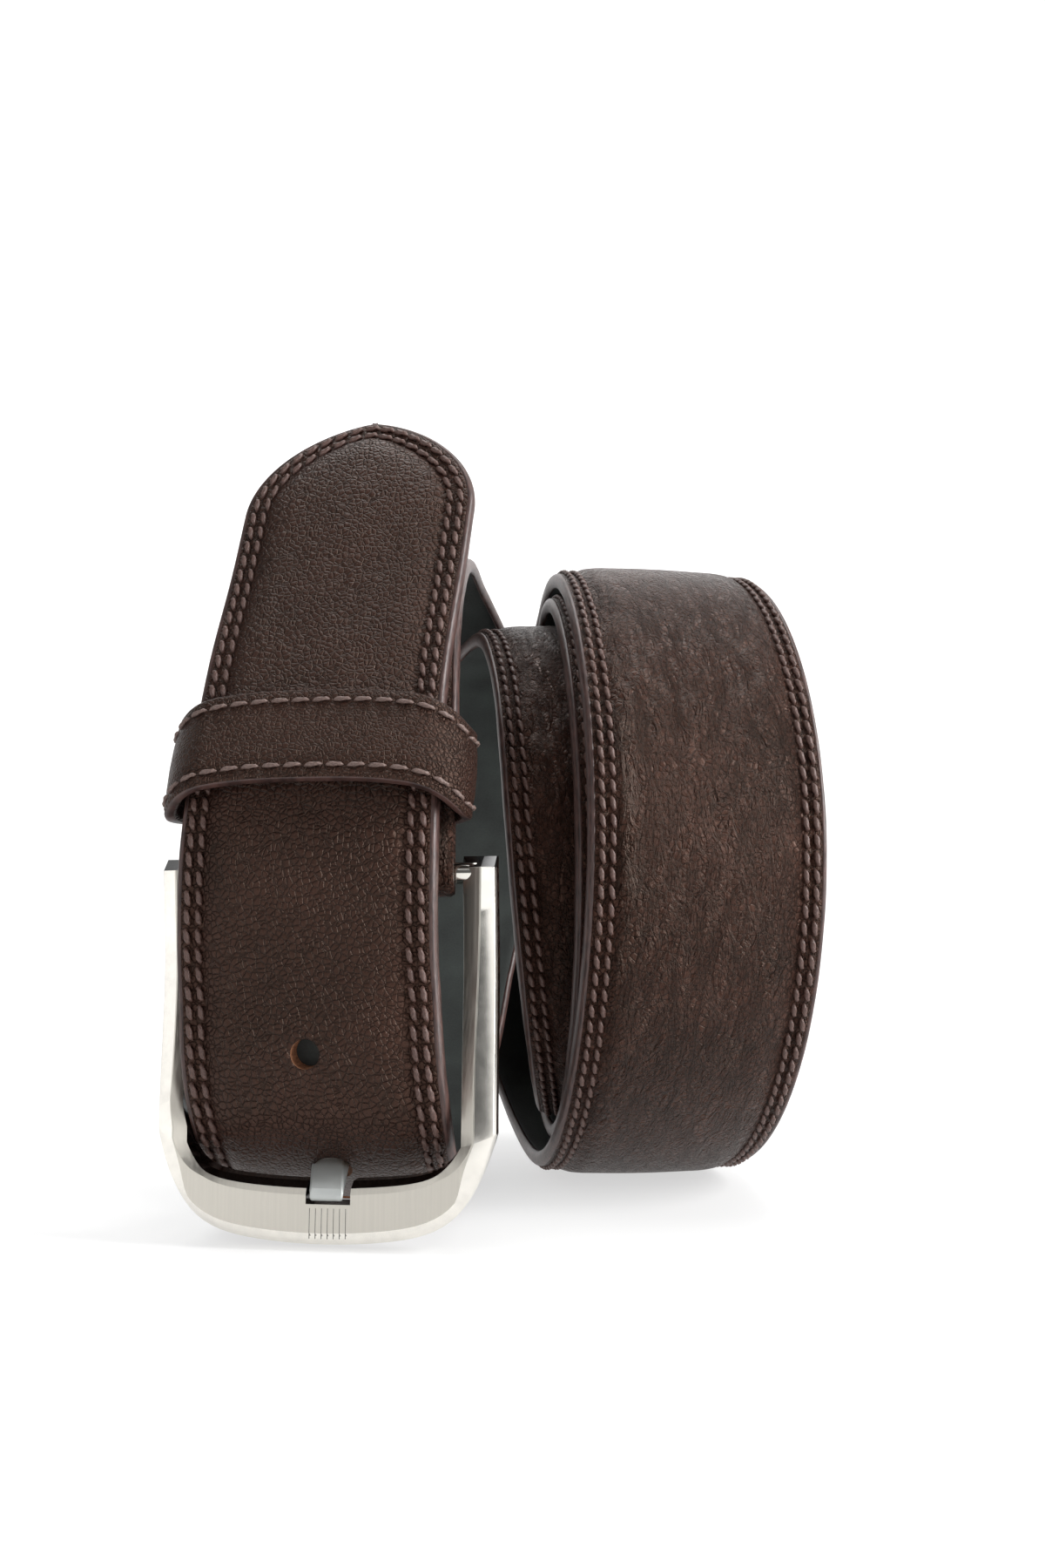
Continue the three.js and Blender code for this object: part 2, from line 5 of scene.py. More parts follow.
import bmesh
import bpy
import numpy as np
from mathutils import Matrix, Vector


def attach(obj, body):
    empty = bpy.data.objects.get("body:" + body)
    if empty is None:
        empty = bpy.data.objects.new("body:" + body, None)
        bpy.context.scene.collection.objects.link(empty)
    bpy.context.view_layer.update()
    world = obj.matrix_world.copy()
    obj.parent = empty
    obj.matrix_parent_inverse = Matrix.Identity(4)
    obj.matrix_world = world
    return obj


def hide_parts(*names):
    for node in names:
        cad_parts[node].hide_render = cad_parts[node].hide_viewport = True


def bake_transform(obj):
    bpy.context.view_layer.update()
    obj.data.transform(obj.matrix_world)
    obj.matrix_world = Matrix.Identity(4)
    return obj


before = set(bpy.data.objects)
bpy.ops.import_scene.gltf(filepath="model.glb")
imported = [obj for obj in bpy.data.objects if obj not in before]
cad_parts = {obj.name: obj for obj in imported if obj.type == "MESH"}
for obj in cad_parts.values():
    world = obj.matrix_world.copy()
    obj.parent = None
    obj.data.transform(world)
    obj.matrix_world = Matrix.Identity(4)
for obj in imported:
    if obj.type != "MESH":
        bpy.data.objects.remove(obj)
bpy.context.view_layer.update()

MM = 0.001
DEG = math.pi / 180
RNG = np.random.default_rng(7)

# ---------- strap's route round COIL_AT: angle, radius, x, yaw (mm and degrees) ----------
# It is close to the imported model's, with a fuller bend behind the outer bar.
COIL_AT = np.array([2.55, 8.0, 54.33])
ROUTE = np.array([
    [-56.2, 79.4, -23.2, -8], [-37.6, 66.6, -25.9, -8], [-21.8, 62.9, -27.9, -8], [-7, 64.1, -28.6, -8],
    [3.5, 66.3, -28.8, -8], [14.6, 67.9, -28.7, -8], [19.5, 69.3, -28.3, -8], [23.4, 71.2, -28.0, -8],
    [27, 72.7, -27.6, -8], [30.6, 73.7, -27.1, -8], [36.5, 72.8, -26.6, -8], [42.4, 69.5, -26.3, -8],
    [50, 65.1, -26.1, -8], [60, 60.3, -26.1, -7], [75, 54.28, -26.1, -7], [90, 52.43, -26.1, -7],
    [105, 47.8, -24.8, -6], [118, 43.6, -23.2, -5], [132, 40.4, -21.4, -4], [150, 38.8, -19.6, -3],
    [180, 38.4, -15.5, -2], [225, 39.4, -5.0, 0], [270, 41.4, 6.6, 2], [315, 42.6, 12.4, 3],
    [360, 43.2, 15.3, 4], [450, 43.5, 20.6, 5], [540, 43.6, 18.0, 6], [585, 45.5, 19.0, 7],
    [630, 47.4, 21.0, 7.7], [720, 47.8, 25.4, 7.7], [810, 47.8, 22.0, 7.7], [900, 47.9, 15.5, 7.7],
    [945, 49.8, 17.6, 7.7], [990, 51.7, 21.6, 7.7], [1080, 52.0, 27.0, 7.7], [1170, 52.43, 19.0, 6],
    [1215, 52.6, 10.5, 5], [1260, 53.2, -0.5, 2], [1305, 54.4, -15.5, -3], [1340, 54.6, -24.2, -6],
    [1365, 54.6, -26.3, -7], [1386, 54.9, -26.8, -8], [1402, 56.9, -27.0, -8], [1417, 58.9, -26.8, -8],
    [1432.5, 59.8, -26.5, -8],
])

# ---------- strap sizes (mm) ----------
HALF = 17.5
TIP = 18.0
TIP_POWER = 0.7
MARGIN_TOP = 0.75
DOME = 1.15
FACE_UNDER = -0.65
LINING_TOP = -0.75
LINING_UNDER = -1.9
OUTER_ROW = 1.6
INNER_ROW = 3.2
PAD_LIFT = 1.0  # the face leather's underside rises this far over the filler
DOME_FOOT = 3.75  # the padding rises this far from the edge
DOME_REACH = 4.2  # and is full this much further in
PAD_FREE_END = 2.0  # no padding this close to the buckle end
PAD_RAMP = 12.0
TIP_FLAT = 12.0  # and no filler under this much of the tip
TIP_RAMP = 8.0
CROWN = 0.12
PUCKER = 0.07
GROOVE = 0.13
RIDGE = 0.05
EDGE_ROLL = 0.45
FILLER_HALF = 12.4
FILLER_TOP_HALF = 10.2
FILLER_UNDER = -0.74
FILLER_GAP = 0.1
EDGE_INSET = 0.15  # the lining stands this far inside the face leather
FRONT_END = 126.0  # the strap is cut into pieces here, behind the outer bar
BEND_END = 163.0  # and here, under the coil

# ---------- stitch sizes (mm) ----------
PITCH = 2.5
STITCH_RADIUS = 0.39
STITCH_REACH = 1.12
STITCH_SLANT = 0.26
STITCH_LIFT = 0.26
STITCH_TWIST = 2.6
STITCH_RINGS = 9
STITCH_SIDES = 8
KEEPER_PITCH = 2.9
KEEPER_STITCH_RADIUS = 0.3
CROSS_PITCH = 3.0
CROSS_END = 12.0  # the fold's stitches reach this far to each side
CROSS_PLACE = 6.0  # and stand this far from the end of the turned-back leather
LONG_REACH = 1.25

# ---------- hole sizes (mm) ----------
USED_HOLE = 117.5
HOLE_PITCH = 18.0
HOLE_RADIUS = 1.95
PUNCH_DEPTH = 12.0
PRONG_SLANT = 68 * DEG
PRONG_HOLE_RADIUS = 2.6
PRONG_HOLE = np.array([-0.3, -4.0, -38.0])  # in buckle coordinates
SLOT = (5.8, 12.0, 14.0)  # the prong's way out through the turned-back leather

# ---------- buckle, prong and fold sizes (mm), in buckle coordinates: along the bar, forward, up ----------
BUCKLE = np.array([-26.1, -59.3, -6.0])
BUCKLE_YAW = -8 * DEG
FRAME_HALF = 22.8
LEFT_ARM_OUT = 24.5
LEFT_ARM_TAPER = 2.4
LEFT_ARM_IN = 18.9
RIGHT_ARM_OUT = 22.9
RIGHT_ARM_IN = 18.1
RIGHT_ARM_SPREAD = 0.6
CORNER_STEPS = [1, 0.9985, 0.996, 0.992, 0.986, 0.979, 0.97, 0.959, 0.946, 0.931, 0.914, 0.894, 0.871, 0.845,
                0.815, 0.78, 0.74, 0.70, 0.65]  # where a corner's points stand, as shares of FRAME_HALF
LEAN = 0.7  # the frame's lower half stands this far to the right of the bar's middle
OPENING_HALF = 18.1
ARM_TOP = 2.4
OUTER_BAR = 48.1
OPENING_DROP = 40.2
CORNER_DROP = 34.0
FRAME_REACH = 3.6
NOTCH_HALF = 2.95
NOTCH_DEPTH = 2.7
NOTCH_CUT = 12.0
LINE_COUNT = 7
LINE_PITCH = 0.8
LINE_HALF = 0.035
BAR_RADIUS = 1.5
PRONG_HALF = 2.2
PRONG_BORE = 1.66
TIP_SHIFT = 1.8  # the prong's tip and its notch stand this far to the right of the bar's middle
FOLD_RADIUS = 2.5
FOLD_BEHIND = 3.0
FOLD_SHIFT = 0.4  # the turned-back leather stands this far to the left of the bar's middle
FOLD_LAST_ANGLE = 1407  # and ends here on the route

# ---------- keeper sizes (mm) ----------
KEEPER_HEIGHT = 13.4
KEEPER_THICK = 1.6
KEEPER_HALF = 21.2
KEEPER_DEPTH = 16.4
KEEPER_CORNER = 7.4
KEEPER_ANGLE = -9.6
KEEPER_SHIFT = 0.3
KEEPER_BACK = 3.8
KEEPER_ROW = 1.8
KEEPER_BOW = 0.5
KEEPER_DROP = 2.8

# ---------- camera (mm and degrees, from the coil's axis) ----------
CAMERA_BACK = 233.8
CAMERA_BELOW = 18.5
CAMERA_TILT = 8.2
CAMERA_LENS = 29.0


# ---------- route ----------
def route_rows(angle):
    """Radius, x and yaw at each angle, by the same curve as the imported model's."""
    angle = np.asarray(angle, float)
    i = np.clip(np.searchsorted(ROUTE[:, 0], angle, side="left") - 1, 0, len(ROUTE) - 2)
    rows = [ROUTE[np.clip(i + k, 0, len(ROUTE) - 1)] for k in (-1, 0, 1, 2)]
    span = rows[2][:, 0] - rows[1][:, 0]
    t = ((angle - rows[1][:, 0]) / span)[:, None]
    m1 = (span / (rows[2][:, 0] - rows[0][:, 0]))[:, None] * (rows[2] - rows[0])[:, 1:]
    m2 = (span / (rows[3][:, 0] - rows[1][:, 0]))[:, None] * (rows[3] - rows[1])[:, 1:]
    t2, t3 = t * t, t * t * t
    return ((2 * t3 - 3 * t2 + 1) * rows[1][:, 1:] + (t3 - 2 * t2 + t) * m1
            + (3 * t2 - 2 * t3) * rows[2][:, 1:] + (t3 - t2) * m2)


def route_points(angle):
    radius, x, _ = route_rows(angle).T
    a = np.asarray(angle) * DEG
    return np.stack([x, -radius * np.cos(a), -radius * np.sin(a)], 1) + COIL_AT


def fold_points():
    """The face leather's own way on: down to the hinge bar, round it and up behind the strap."""
    x, bar_y, bar_z = BUCKLE - [FOLD_SHIFT, 0, 0]
    turn = np.arange(0, 181, 6) * DEG
    run = [(bar_y - 1.6, bar_z + 8), (bar_y - FOLD_RADIUS + 0.1, bar_z + 4)]
    run += list(zip(bar_y - FOLD_RADIUS * np.cos(turn), bar_z - FOLD_RADIUS * np.sin(turn)))
    run.append((bar_y + FOLD_RADIUS + 0.1, bar_z + 4.5))
    angles = np.arange(ROUTE[-1, 0] - 1, FOLD_LAST_ANGLE, -4.0)
    behind = route_points(angles) - COIL_AT - route_normals(angles) * FOLD_BEHIND
    run += list(behind[:, 1:])
    return np.array([[x, y, z] for y, z in run]) + COIL_AT


def route_normals(angle):
    tangent = route_points(angle + 0.4) - route_points(angle - 0.4)
    yaw = route_rows(angle)[:, 2] * DEG
    normal = np.cross(tangent, np.stack([np.cos(yaw), np.sin(yaw), 0 * yaw], 1))
    return normal / np.linalg.norm(normal, axis=1)[:, None]


def run_lengths_of(points):
    return np.concatenate([[0], np.cumsum(np.linalg.norm(np.diff(points, axis=0), axis=1))])


ANGLES = np.linspace(ROUTE[0, 0], ROUTE[-1, 0], 9000)
ROUTE_PLACES = route_points(ANGLES)
TOTAL = run_lengths_of(ROUTE_PLACES)[-1]
FOLD = fold_points()
ALL_PLACES = np.concatenate([ROUTE_PLACES, FOLD])
ALL_LENGTHS = run_lengths_of(ALL_PLACES)
FOLD_END = ALL_LENGTHS[-1]
ALL_YAWS = np.concatenate([route_rows(ANGLES)[:, 2] * DEG, np.full(len(FOLD), BUCKLE_YAW)])


def path_at(s):
    return np.stack([np.interp(s, ALL_LENGTHS, ALL_PLACES[:, k]) for k in range(3)], 1)


def strap_frames(s):
    """Place, width direction and outward normal at lengths s from the tip."""
    s = np.asarray(s, float)
    place = path_at(s)
    reach = np.where(s > TOTAL - 3, 0.9, 0.3)
    tangent = path_at(np.minimum(s + reach, FOLD_END)) - path_at(np.maximum(s - reach, 0))
    tangent /= np.linalg.norm(tangent, axis=1)[:, None]
    yaw = np.interp(s, ALL_LENGTHS, ALL_YAWS)
    axis = np.stack([np.cos(yaw), np.sin(yaw), 0 * yaw], 1)
    normal = np.cross(tangent, axis)
    size = np.linalg.norm(normal, axis=1)[:, None]
    return place, axis / size, normal / size


def on_strap(s, u, n):
    """Points in millimetres at length s, across u and height n, arrays of one shape."""
    s, u, n = np.broadcast_arrays(s, u, n)
    place, width, normal = strap_frames(s.ravel())
    points = place + width * u.ravel()[:, None] + normal * n.ravel()[:, None]
    return points.reshape(s.shape + (3,))


def half_width(s):
    t = np.clip((TIP - np.maximum(s, 0.02)) / TIP, 0, 1)
    return HALF * (1 - t * t) ** TIP_POWER


OUTLINE_S = TIP * (1 - np.cos(np.linspace(0, 1, 160) * math.pi / 2))
OUTLINE = np.stack([OUTLINE_S, half_width(OUTLINE_S)], 1)


def edge_distance(s, u):
    """Distance from the strap's outline, by the outline's own points near the tip."""
    s, u = np.broadcast_arrays(np.asarray(s, float), np.abs(u))
    e = half_width(s) - u
    near = s < TIP + 8
    if near.any():
        p = np.stack([s[near], u[near]], 1)
        d = np.linalg.norm(p[:, None] - OUTLINE[None], axis=2).min(1)
        e = e.copy()
        e[near] = np.minimum(np.maximum(e[near], 0), d)
    return e


def smooth(t):
    t = np.clip(t, 0, 1)
    return t * t * (3 - 2 * t)


def padding(s):
    """0 where the strap is flat at its buckle end, 1 where it is padded."""
    return smooth((TOTAL - s - PAD_FREE_END) / PAD_RAMP)


def tip_padding(s):
    """0 where the tip has no filler, 1 where it has."""
    return smooth((s - TIP_FLAT) / TIP_RAMP)


def strap_top(s, u):
    """Height of the face leather's upper surface, with its padding, grooves and puckers."""
    e = edge_distance(s, u)
    pad = padding(s)
    t = np.clip((e - DOME_FOOT) / DOME_REACH, 0, 1)
    dome = DOME * pad * np.sqrt(np.clip(1 - (1 - t) ** 2, 0, 1)) ** 1.15
    crown = CROWN * pad * smooth((e - 6) / 11)
    wave = np.sin(2 * math.pi * s / PITCH + 0.8 * np.sin(s / 7.0))
    pucker = PUCKER * wave * np.exp(-((e - 5.0) / 1.1) ** 2)
    rows = sum(np.exp(-((e - row) / 0.42) ** 2) for row in (OUTER_ROW, INNER_ROW))
    ridge = RIDGE * np.exp(-((e - (OUTER_ROW + INNER_ROW) / 2) / 0.3) ** 2)
    roll = EDGE_ROLL * (1 - smooth(e / 0.9))
    slow = 0.06 * np.sin(s / 23.0 + u / 9.0) + 0.05 * np.sin(s / 11.0 - u / 6.0)
    return MARGIN_TOP + dome + crown + pucker * pad - GROOVE * rows + ridge - roll + slow * t * pad


# ---------- meshes ----------
def make_mesh(name, points, faces, uvs=None):
    mesh = bpy.data.meshes.new(name)
    mesh.from_pydata((np.asarray(points) * MM).tolist(), [], faces)
    mesh.update()
    if uvs is not None:
        layer = mesh.uv_layers.new(name="strap")
        index = np.empty(len(mesh.loops), int)
        mesh.loops.foreach_get("vertex_index", index)
        layer.data.foreach_set("uv", np.asarray(uvs, float)[index].ravel())
    mesh.polygons.foreach_set("use_smooth", [True] * len(mesh.polygons))
    obj = bpy.data.objects.new(name, mesh)
    bpy.context.scene.collection.objects.link(obj)
    return obj


def tidy_normals(obj):
    bm = bmesh.new()
    bm.from_mesh(obj.data)
    bmesh.ops.recalc_face_normals(bm, faces=bm.faces)
    bm.to_mesh(obj.data)
    bm.free()
    return obj


def sweep(name, rings, uvs, closed_run=False):
    """A closed solid through rings of points, shape (run, ring, 3), capped at both ends."""
    run, ring = rings.shape[:2]
    faces = []
    for i in range(run if closed_run else run - 1):
        a = i * ring
        b = ((i + 1) % run) * ring
        for j in range(ring):
            k = (j + 1) % ring
            faces.append((a + j, a + k, b + k, b + j))
    if not closed_run:
        faces.append(tuple(range(ring)))
        faces.append(tuple(reversed(range((run - 1) * ring, run * ring))))
    return tidy_normals(make_mesh(name, rings.reshape(-1, 3), faces, uvs.reshape(-1, 2)))


def flat_uv(s, u):
    return np.stack(np.broadcast_arrays(u, s), 2)


def run_lengths(start, end, step):
    """Lengths from start to end, closer together where the tip is round."""
    tip = [0.02, 0.06, 0.14, 0.28, 0.5, 0.8, 1.2, 1.7, 2.3]
    return np.concatenate([tip if start < 3 else [], np.arange(max(start, 3.0), end, step), [end]])


def face_piece(name, start, end):
    s = run_lengths(start, end, 0.65)[:, None]
    side = np.concatenate([np.linspace(0, 0.9, 22)[:-1] ** 0.9 * 0.985, [0.9, 0.93, 0.955, 0.975, 0.99]])
    u = np.concatenate([-side[::-1], side[1:]])[None] * half_width(s)
    lower_share = np.array([0.99, 0.76, 0.0, -0.76, -0.99])[None]
    lift = np.where(np.abs(lower_share) < 0.7, PAD_LIFT, 0.0) * padding(s) * tip_padding(s)
    lower_u = lower_share * half_width(s)
    rings = np.concatenate([on_strap(s, u, strap_top(s, u)), on_strap(s, lower_u, FACE_UNDER + lift)], 1)
    return sweep(name, rings, np.concatenate([flat_uv(s, u), flat_uv(s, lower_u)], 1))


def filler_piece(name, start, end):
    s = run_lengths(start, end, 2.0)[:, None]
    top = FACE_UNDER + PAD_LIFT * np.minimum(padding(s), tip_padding(s)) - FILLER_GAP
    under = 0 * s + FILLER_UNDER
    u = np.array([FILLER_TOP_HALF, -FILLER_TOP_HALF, -FILLER_HALF, FILLER_HALF])[None] * half_width(s) / HALF
    return sweep(name, on_strap(s, u, np.concatenate([top, top, under, under], 1)), flat_uv(s, u))


def lining_piece(name, start, end):
    s = run_lengths(start, end, 1.3)[:, None]
    half = half_width(s) - EDGE_INSET * np.minimum(1, half_width(s))
    w = np.array([-1, -0.97, -0.9, -0.5, 0, 0.5, 0.9, 0.97, 1])[None]
    u = w * half
    ripple = 0.05 * np.sin(s / 9.0 + u / 5.0)
    under = LINING_UNDER + 0.25 * (np.abs(w) > 0.99) + ripple * (np.abs(w) < 0.95)
    back = u[:, ::-1]
    rings = np.concatenate([on_strap(s, u, under), on_strap(s, back, LINING_TOP)], 1)
    return sweep(name, rings, np.concatenate([flat_uv(s, u), flat_uv(s, back)], 1))


def outline_path(start, end, step, inset=0.0):
    """Runs of (s, u, inward s, inward u) along the strap's edge: both sides, or round the tip."""
    straight = np.arange(max(start, TIP), end, step)
    straight = np.append(straight, end)
    side = np.stack([straight, 0 * straight + HALF, 0 * straight, 0 * straight - 1], 1)
    if start > TIP:
        left = side.copy()
        left[:, [1, 3]] *= -1
        return [side[::-1], left]
    tip_s = TIP * (1 - np.cos(np.linspace(0.001, 1, 60) * math.pi / 2))
    h = half_width(tip_s)
    ds, dh = np.gradient(tip_s), np.gradient(h)
    size = np.hypot(ds, dh)
    tip = np.stack([tip_s, h, dh / size, -ds / size], 1)
    tip = tip[(tip_s + inset * dh / size >= 0)]
    keep = tip[:, 1] + inset * tip[:, 3] > 0.15
    tip = tip[keep][:-1]
    left_tip, left_side = tip.copy(), side.copy()
    left_tip[:, [1, 3]] *= -1
    left_side[:, [1, 3]] *= -1
    return [np.concatenate([side[::-1], tip[::-1], left_tip, left_side])]


def edge_piece(name, start, end):
    """The painted edge: a rounded bead down the strap's cut side."""
    profile = [(0.7, 0.62), (0.28, 0.62), (-0.02, 0.38), (-0.22, -0.05), (-0.3, -0.6),
               (-0.24, -1.15), (-0.05, -1.6), (0.3, -1.88), (0.7, -1.9), (0.75, -0.6)]
    pieces = []
    for k, path in enumerate(outline_path(start, end, 1.0)):
        s, u, inward_s, inward_u = path.T[:, :, None]
        wobble = 1 + 0.1 * np.sin(s / 5.3 + 2 * k) + 0.07 * np.sin(s / 1.9)
        rings = np.stack([on_strap(s + inward_s * a, u + inward_u * (a * (wobble if a < 0 else 1)), n)[:, 0]
                          for a, n in profile], 1)
        along = run_lengths_of(path[:, :2])
        uv = np.stack([np.broadcast_to(np.arange(len(profile)) * 0.5, rings.shape[:2]),
                       np.broadcast_to(along[:, None], rings.shape[:2])], 2)
        pieces.append(sweep(f"{name}_{k}", rings, uv))
    return join(name, pieces)


def join(name, pieces):
    if len(pieces) > 1:
        with bpy.context.temp_override(active_object=pieces[0], selected_editable_objects=pieces):
            bpy.ops.object.join()
    pieces[0].name = name
    return pieces[0]


def stitches(name, centres, ends, ups, radius=STITCH_RADIUS):
    """Twisted-thread stitches: each runs between two ends and dives into the leather at both."""
    count, rings, sides = len(centres), STITCH_RINGS, STITCH_SIDES
    t = np.linspace(-1, 1, rings)
    along = (ends[:, 1] - ends[:, 0]) / 2
    side = np.cross(along, ups)
    side /= np.linalg.norm(side, axis=1)[:, None]
    arch = 0.30 * (1 - np.abs(t) ** 3.0) - 0.20
    line = centres[:, None] + along[:, None] * t[None, :, None] + ups[:, None] * arch[None, :, None]
    slim = np.sqrt(np.clip(1 - np.abs(t) ** 6, 0.05, 1))
    a = np.linspace(0, 2 * math.pi, sides, endpoint=False)
    phase = t[:, None] * STITCH_TWIST
    lobes = 1 + 0.2 * np.cos(2 * (a[None] - phase))
    ring = radius * slim[:, None] * lobes
    x = ring * np.cos(a)[None]
    y = ring * np.sin(a)[None]
    points = (line[:, :, None] + side[:, None, None] * x[None, :, :, None]
              + ups[:, None, None] * y[None, :, :, None])
    faces = []
    for i in range(rings - 1):
        for j in range(sides):
            k = (j + 1) % sides
            faces.append((i * sides + j, i * sides + k, (i + 1) * sides + k, (i + 1) * sides + j))
    faces = np.array(faces)
    each = rings * sides
    quads = (faces[None] + (np.arange(count) * each)[:, None, None]).reshape(-1, 4).tolist()
    for i in range(count):
        quads.append([i * each + j for j in reversed(range(sides))])
        quads.append([i * each + (rings - 1) * sides + j for j in range(sides)])
    uv_a = np.broadcast_to(a[None, None, :] / (2 * math.pi), (count, rings, sides))
    uv_t = np.broadcast_to(t[None, :, None] + np.arange(count)[:, None, None] * PITCH, (count, rings, sides))
    uvs = np.stack([uv_a, uv_t], 3).reshape(-1, 2)
    return tidy_normals(make_mesh(name, points.reshape(-1, 3), quads, uvs))


def strap_stitches(name, start, end, inset):
    parts = []
    for k, path in enumerate(outline_path(start, end, 0.5, inset)):
        row = path[:, :2] + path[:, 2:] * inset
        along = run_lengths_of(row)
        count = int(along[-1] / PITCH)
        middle = (np.arange(count) + 0.5) * along[-1] / count
        low, high = (np.stack([np.interp(middle + reach, along, row[:, axis]) for axis in (0, 1)], 1)
                     for reach in (-STITCH_REACH, STITCH_REACH))
        run = high - low
        run /= np.linalg.norm(run, axis=1)[:, None]
        across = np.stack([-run[:, 1], run[:, 0]], 1)
        jitter = RNG.normal(0, 0.04, (count, 2))
        low = low - across * (STITCH_SLANT + jitter[:, :1])
        high = high + across * (STITCH_SLANT + jitter[:, 1:])
        s, u = ((low + high) / 2).T
        level = strap_top(s, u) + STITCH_LIFT
        ends = np.stack([on_strap(p[:, 0], p[:, 1], level) for p in (low, high)], 1)
        parts.append(stitches(f"{name}_{k}", on_strap(s, u, level), ends, strap_frames(s)[2]))
    return join(name, parts)


# ---------- materials ----------
def new_material(name):
    material = bpy.data.materials.new(name)
    material.use_nodes = True
    tree = material.node_tree
    return material, tree, tree.nodes["Principled BSDF"]


def node(tree, kind, inputs=None, **settings):
    made = tree.nodes.new(kind)
    for key, value in settings.items():
        setattr(made, key, value)
    for key, value in (inputs or {}).items():
        if isinstance(value, bpy.types.NodeSocket):
            tree.links.new(value, made.inputs[key])
        else:
            made.inputs[key].default_value = value
    return made


def ramp(tree, factor, *stops):
    made = node(tree, "ShaderNodeValToRGB", {"Fac": factor})
    elements = made.color_ramp.elements
    while len(elements) < len(stops):
        elements.new(0.5)
    for element, (place, color) in zip(elements, stops):
        element.position = place
        element.color = (*color, 1)
    return made.outputs["Color"]


def value_ramp(tree, factor, *stops):
    return ramp(tree, factor, *[(place, (v, v, v)) for place, v in stops])


def math_node(tree, operation, a, b):
    return node(tree, "ShaderNodeMath", {0: a, 1: b}, operation=operation).outputs[0]


def strap_uv(tree, scale=(1, 1, 1), turn=0.0):
    uv = node(tree, "ShaderNodeUVMap", uv_map="strap").outputs["UV"]
    placed = node(tree, "ShaderNodeMapping", {"Vector": uv, "Rotation": (0, 0, turn), "Scale": scale})
    return placed.outputs["Vector"]


def noise(tree, vector, scale, detail, roughness=0.5, distortion=0.0):
    inputs = {"Vector": vector, "Scale": scale, "Detail": detail, "Roughness": roughness,
              "Distortion": distortion}
    return node(tree, "ShaderNodeTexNoise", inputs).outputs["Fac"]


def bump(tree, height, distance, strength, normal=None):
    inputs = {"Height": height, "Distance": distance, "Strength": strength}
    if normal is not None:
        inputs["Normal"] = normal
    return node(tree, "ShaderNodeBump", inputs).outputs["Normal"]


def feed(tree, shader, color, normal, roughness):
    """Links a colour and a normal, and links or sets the roughness."""
    tree.links.new(color, shader.inputs["Base Color"])
    tree.links.new(normal, shader.inputs["Normal"])
    if isinstance(roughness, bpy.types.NodeSocket):
        tree.links.new(roughness, shader.inputs["Roughness"])
    else:
        shader.inputs["Roughness"].default_value = roughness


DARK_BROWN = (0.0075, 0.0030, 0.0023)
BROWN = (0.036, 0.0155, 0.0112)


def leather_material(name, grain, crease, dark=DARK_BROWN, light=BROWN):
    """Full-grain leather: cells and pores at about half a millimetre, soft creases, uneven dye."""
    material, tree, shader = new_material(name)
    vector = strap_uv(tree)
    cells = node(tree, "ShaderNodeTexVoronoi", {"Vector": vector, "Scale": 1.25 * grain, "Randomness": 1.0},
                 feature="DISTANCE_TO_EDGE")
    cell_height = value_ramp(tree, cells.outputs["Distance"], (0.0, 0.0), (0.12, 0.7), (0.4, 1.0))
    fine = noise(tree, vector, 3.4 * grain, 4.0, 0.6)
    pores = node(tree, "ShaderNodeTexVoronoi", {"Vector": vector, "Scale": 1.9 * grain}, feature="F1")
    pore_height = value_ramp(tree, pores.outputs["Distance"], (0.0, 0.0), (0.16, 1.0))
    drift = noise(tree, vector, 0.06, 3.0)
    slant = node(tree, "ShaderNodeMapping", {"Vector": vector, "Rotation": (0, 0, 0.9),
                                             "Scale": (0.75, 0.3, 1)}).outputs["Vector"]
    folds = noise(tree, slant, 0.55, 5.0, 0.62, 1.6)
    fold_height = value_ramp(tree, folds, (0.35, 0.0), (0.5, 1.0), (0.62, 0.35))
    normal = bump(tree, cell_height, 0.00022, 0.9)
    normal = bump(tree, fine, 0.00016, 0.6, normal)
    normal = bump(tree, pore_height, 0.00014, 0.6, normal)
    normal = bump(tree, fold_height, 0.0004, crease, normal)
    tone = math_node(tree, "ADD", math_node(tree, "MULTIPLY", drift, 0.75),
                     math_node(tree, "MULTIPLY", cell_height, 0.4))
    feed(tree, shader, ramp(tree, tone, (0.35, dark), (0.9, light)), normal,
         value_ramp(tree, fine, (0.3, 0.27), (0.7, 0.43)))
    shader.inputs["Specular IOR Level"].default_value = 0.3
    shader.inputs["Specular Tint"].default_value = (1, 0.70, 0.55, 1)
    return material


def lining_material():
    material, tree, shader = new_material("lining_leather")
    vector = strap_uv(tree)
    nap = noise(tree, vector, 2.2, 6.0, 0.7)
    drift = noise(tree, vector, 0.09, 3.0)
    feed(tree, shader, ramp(tree, drift, (0.3, (0.012, 0.014, 0.013)), (0.7, (0.030, 0.036, 0.033))),
         bump(tree, nap, 0.00008, 0.5), value_ramp(tree, nap, (0.3, 0.6), (0.7, 0.8)))
    return material


def paint_material():
    """Edge paint: a satin coat, slightly lumpy, worn lighter in streaks along the strap."""
    material, tree, shader = new_material("edge_paint")
    streak = noise(tree, strap_uv(tree, (1, 0.18, 1)), 2.0, 5.0)
    lumps = noise(tree, strap_uv(tree), 1.1, 4.0)
    normal = bump(tree, lumps, 0.0001, 0.5, bump(tree, streak, 0.00012, 0.5))
    feed(tree, shader, ramp(tree, streak, (0.35, (0.022, 0.0100, 0.0085)), (0.65, (0.075, 0.037, 0.031))),
         normal, 0.42)
    return material


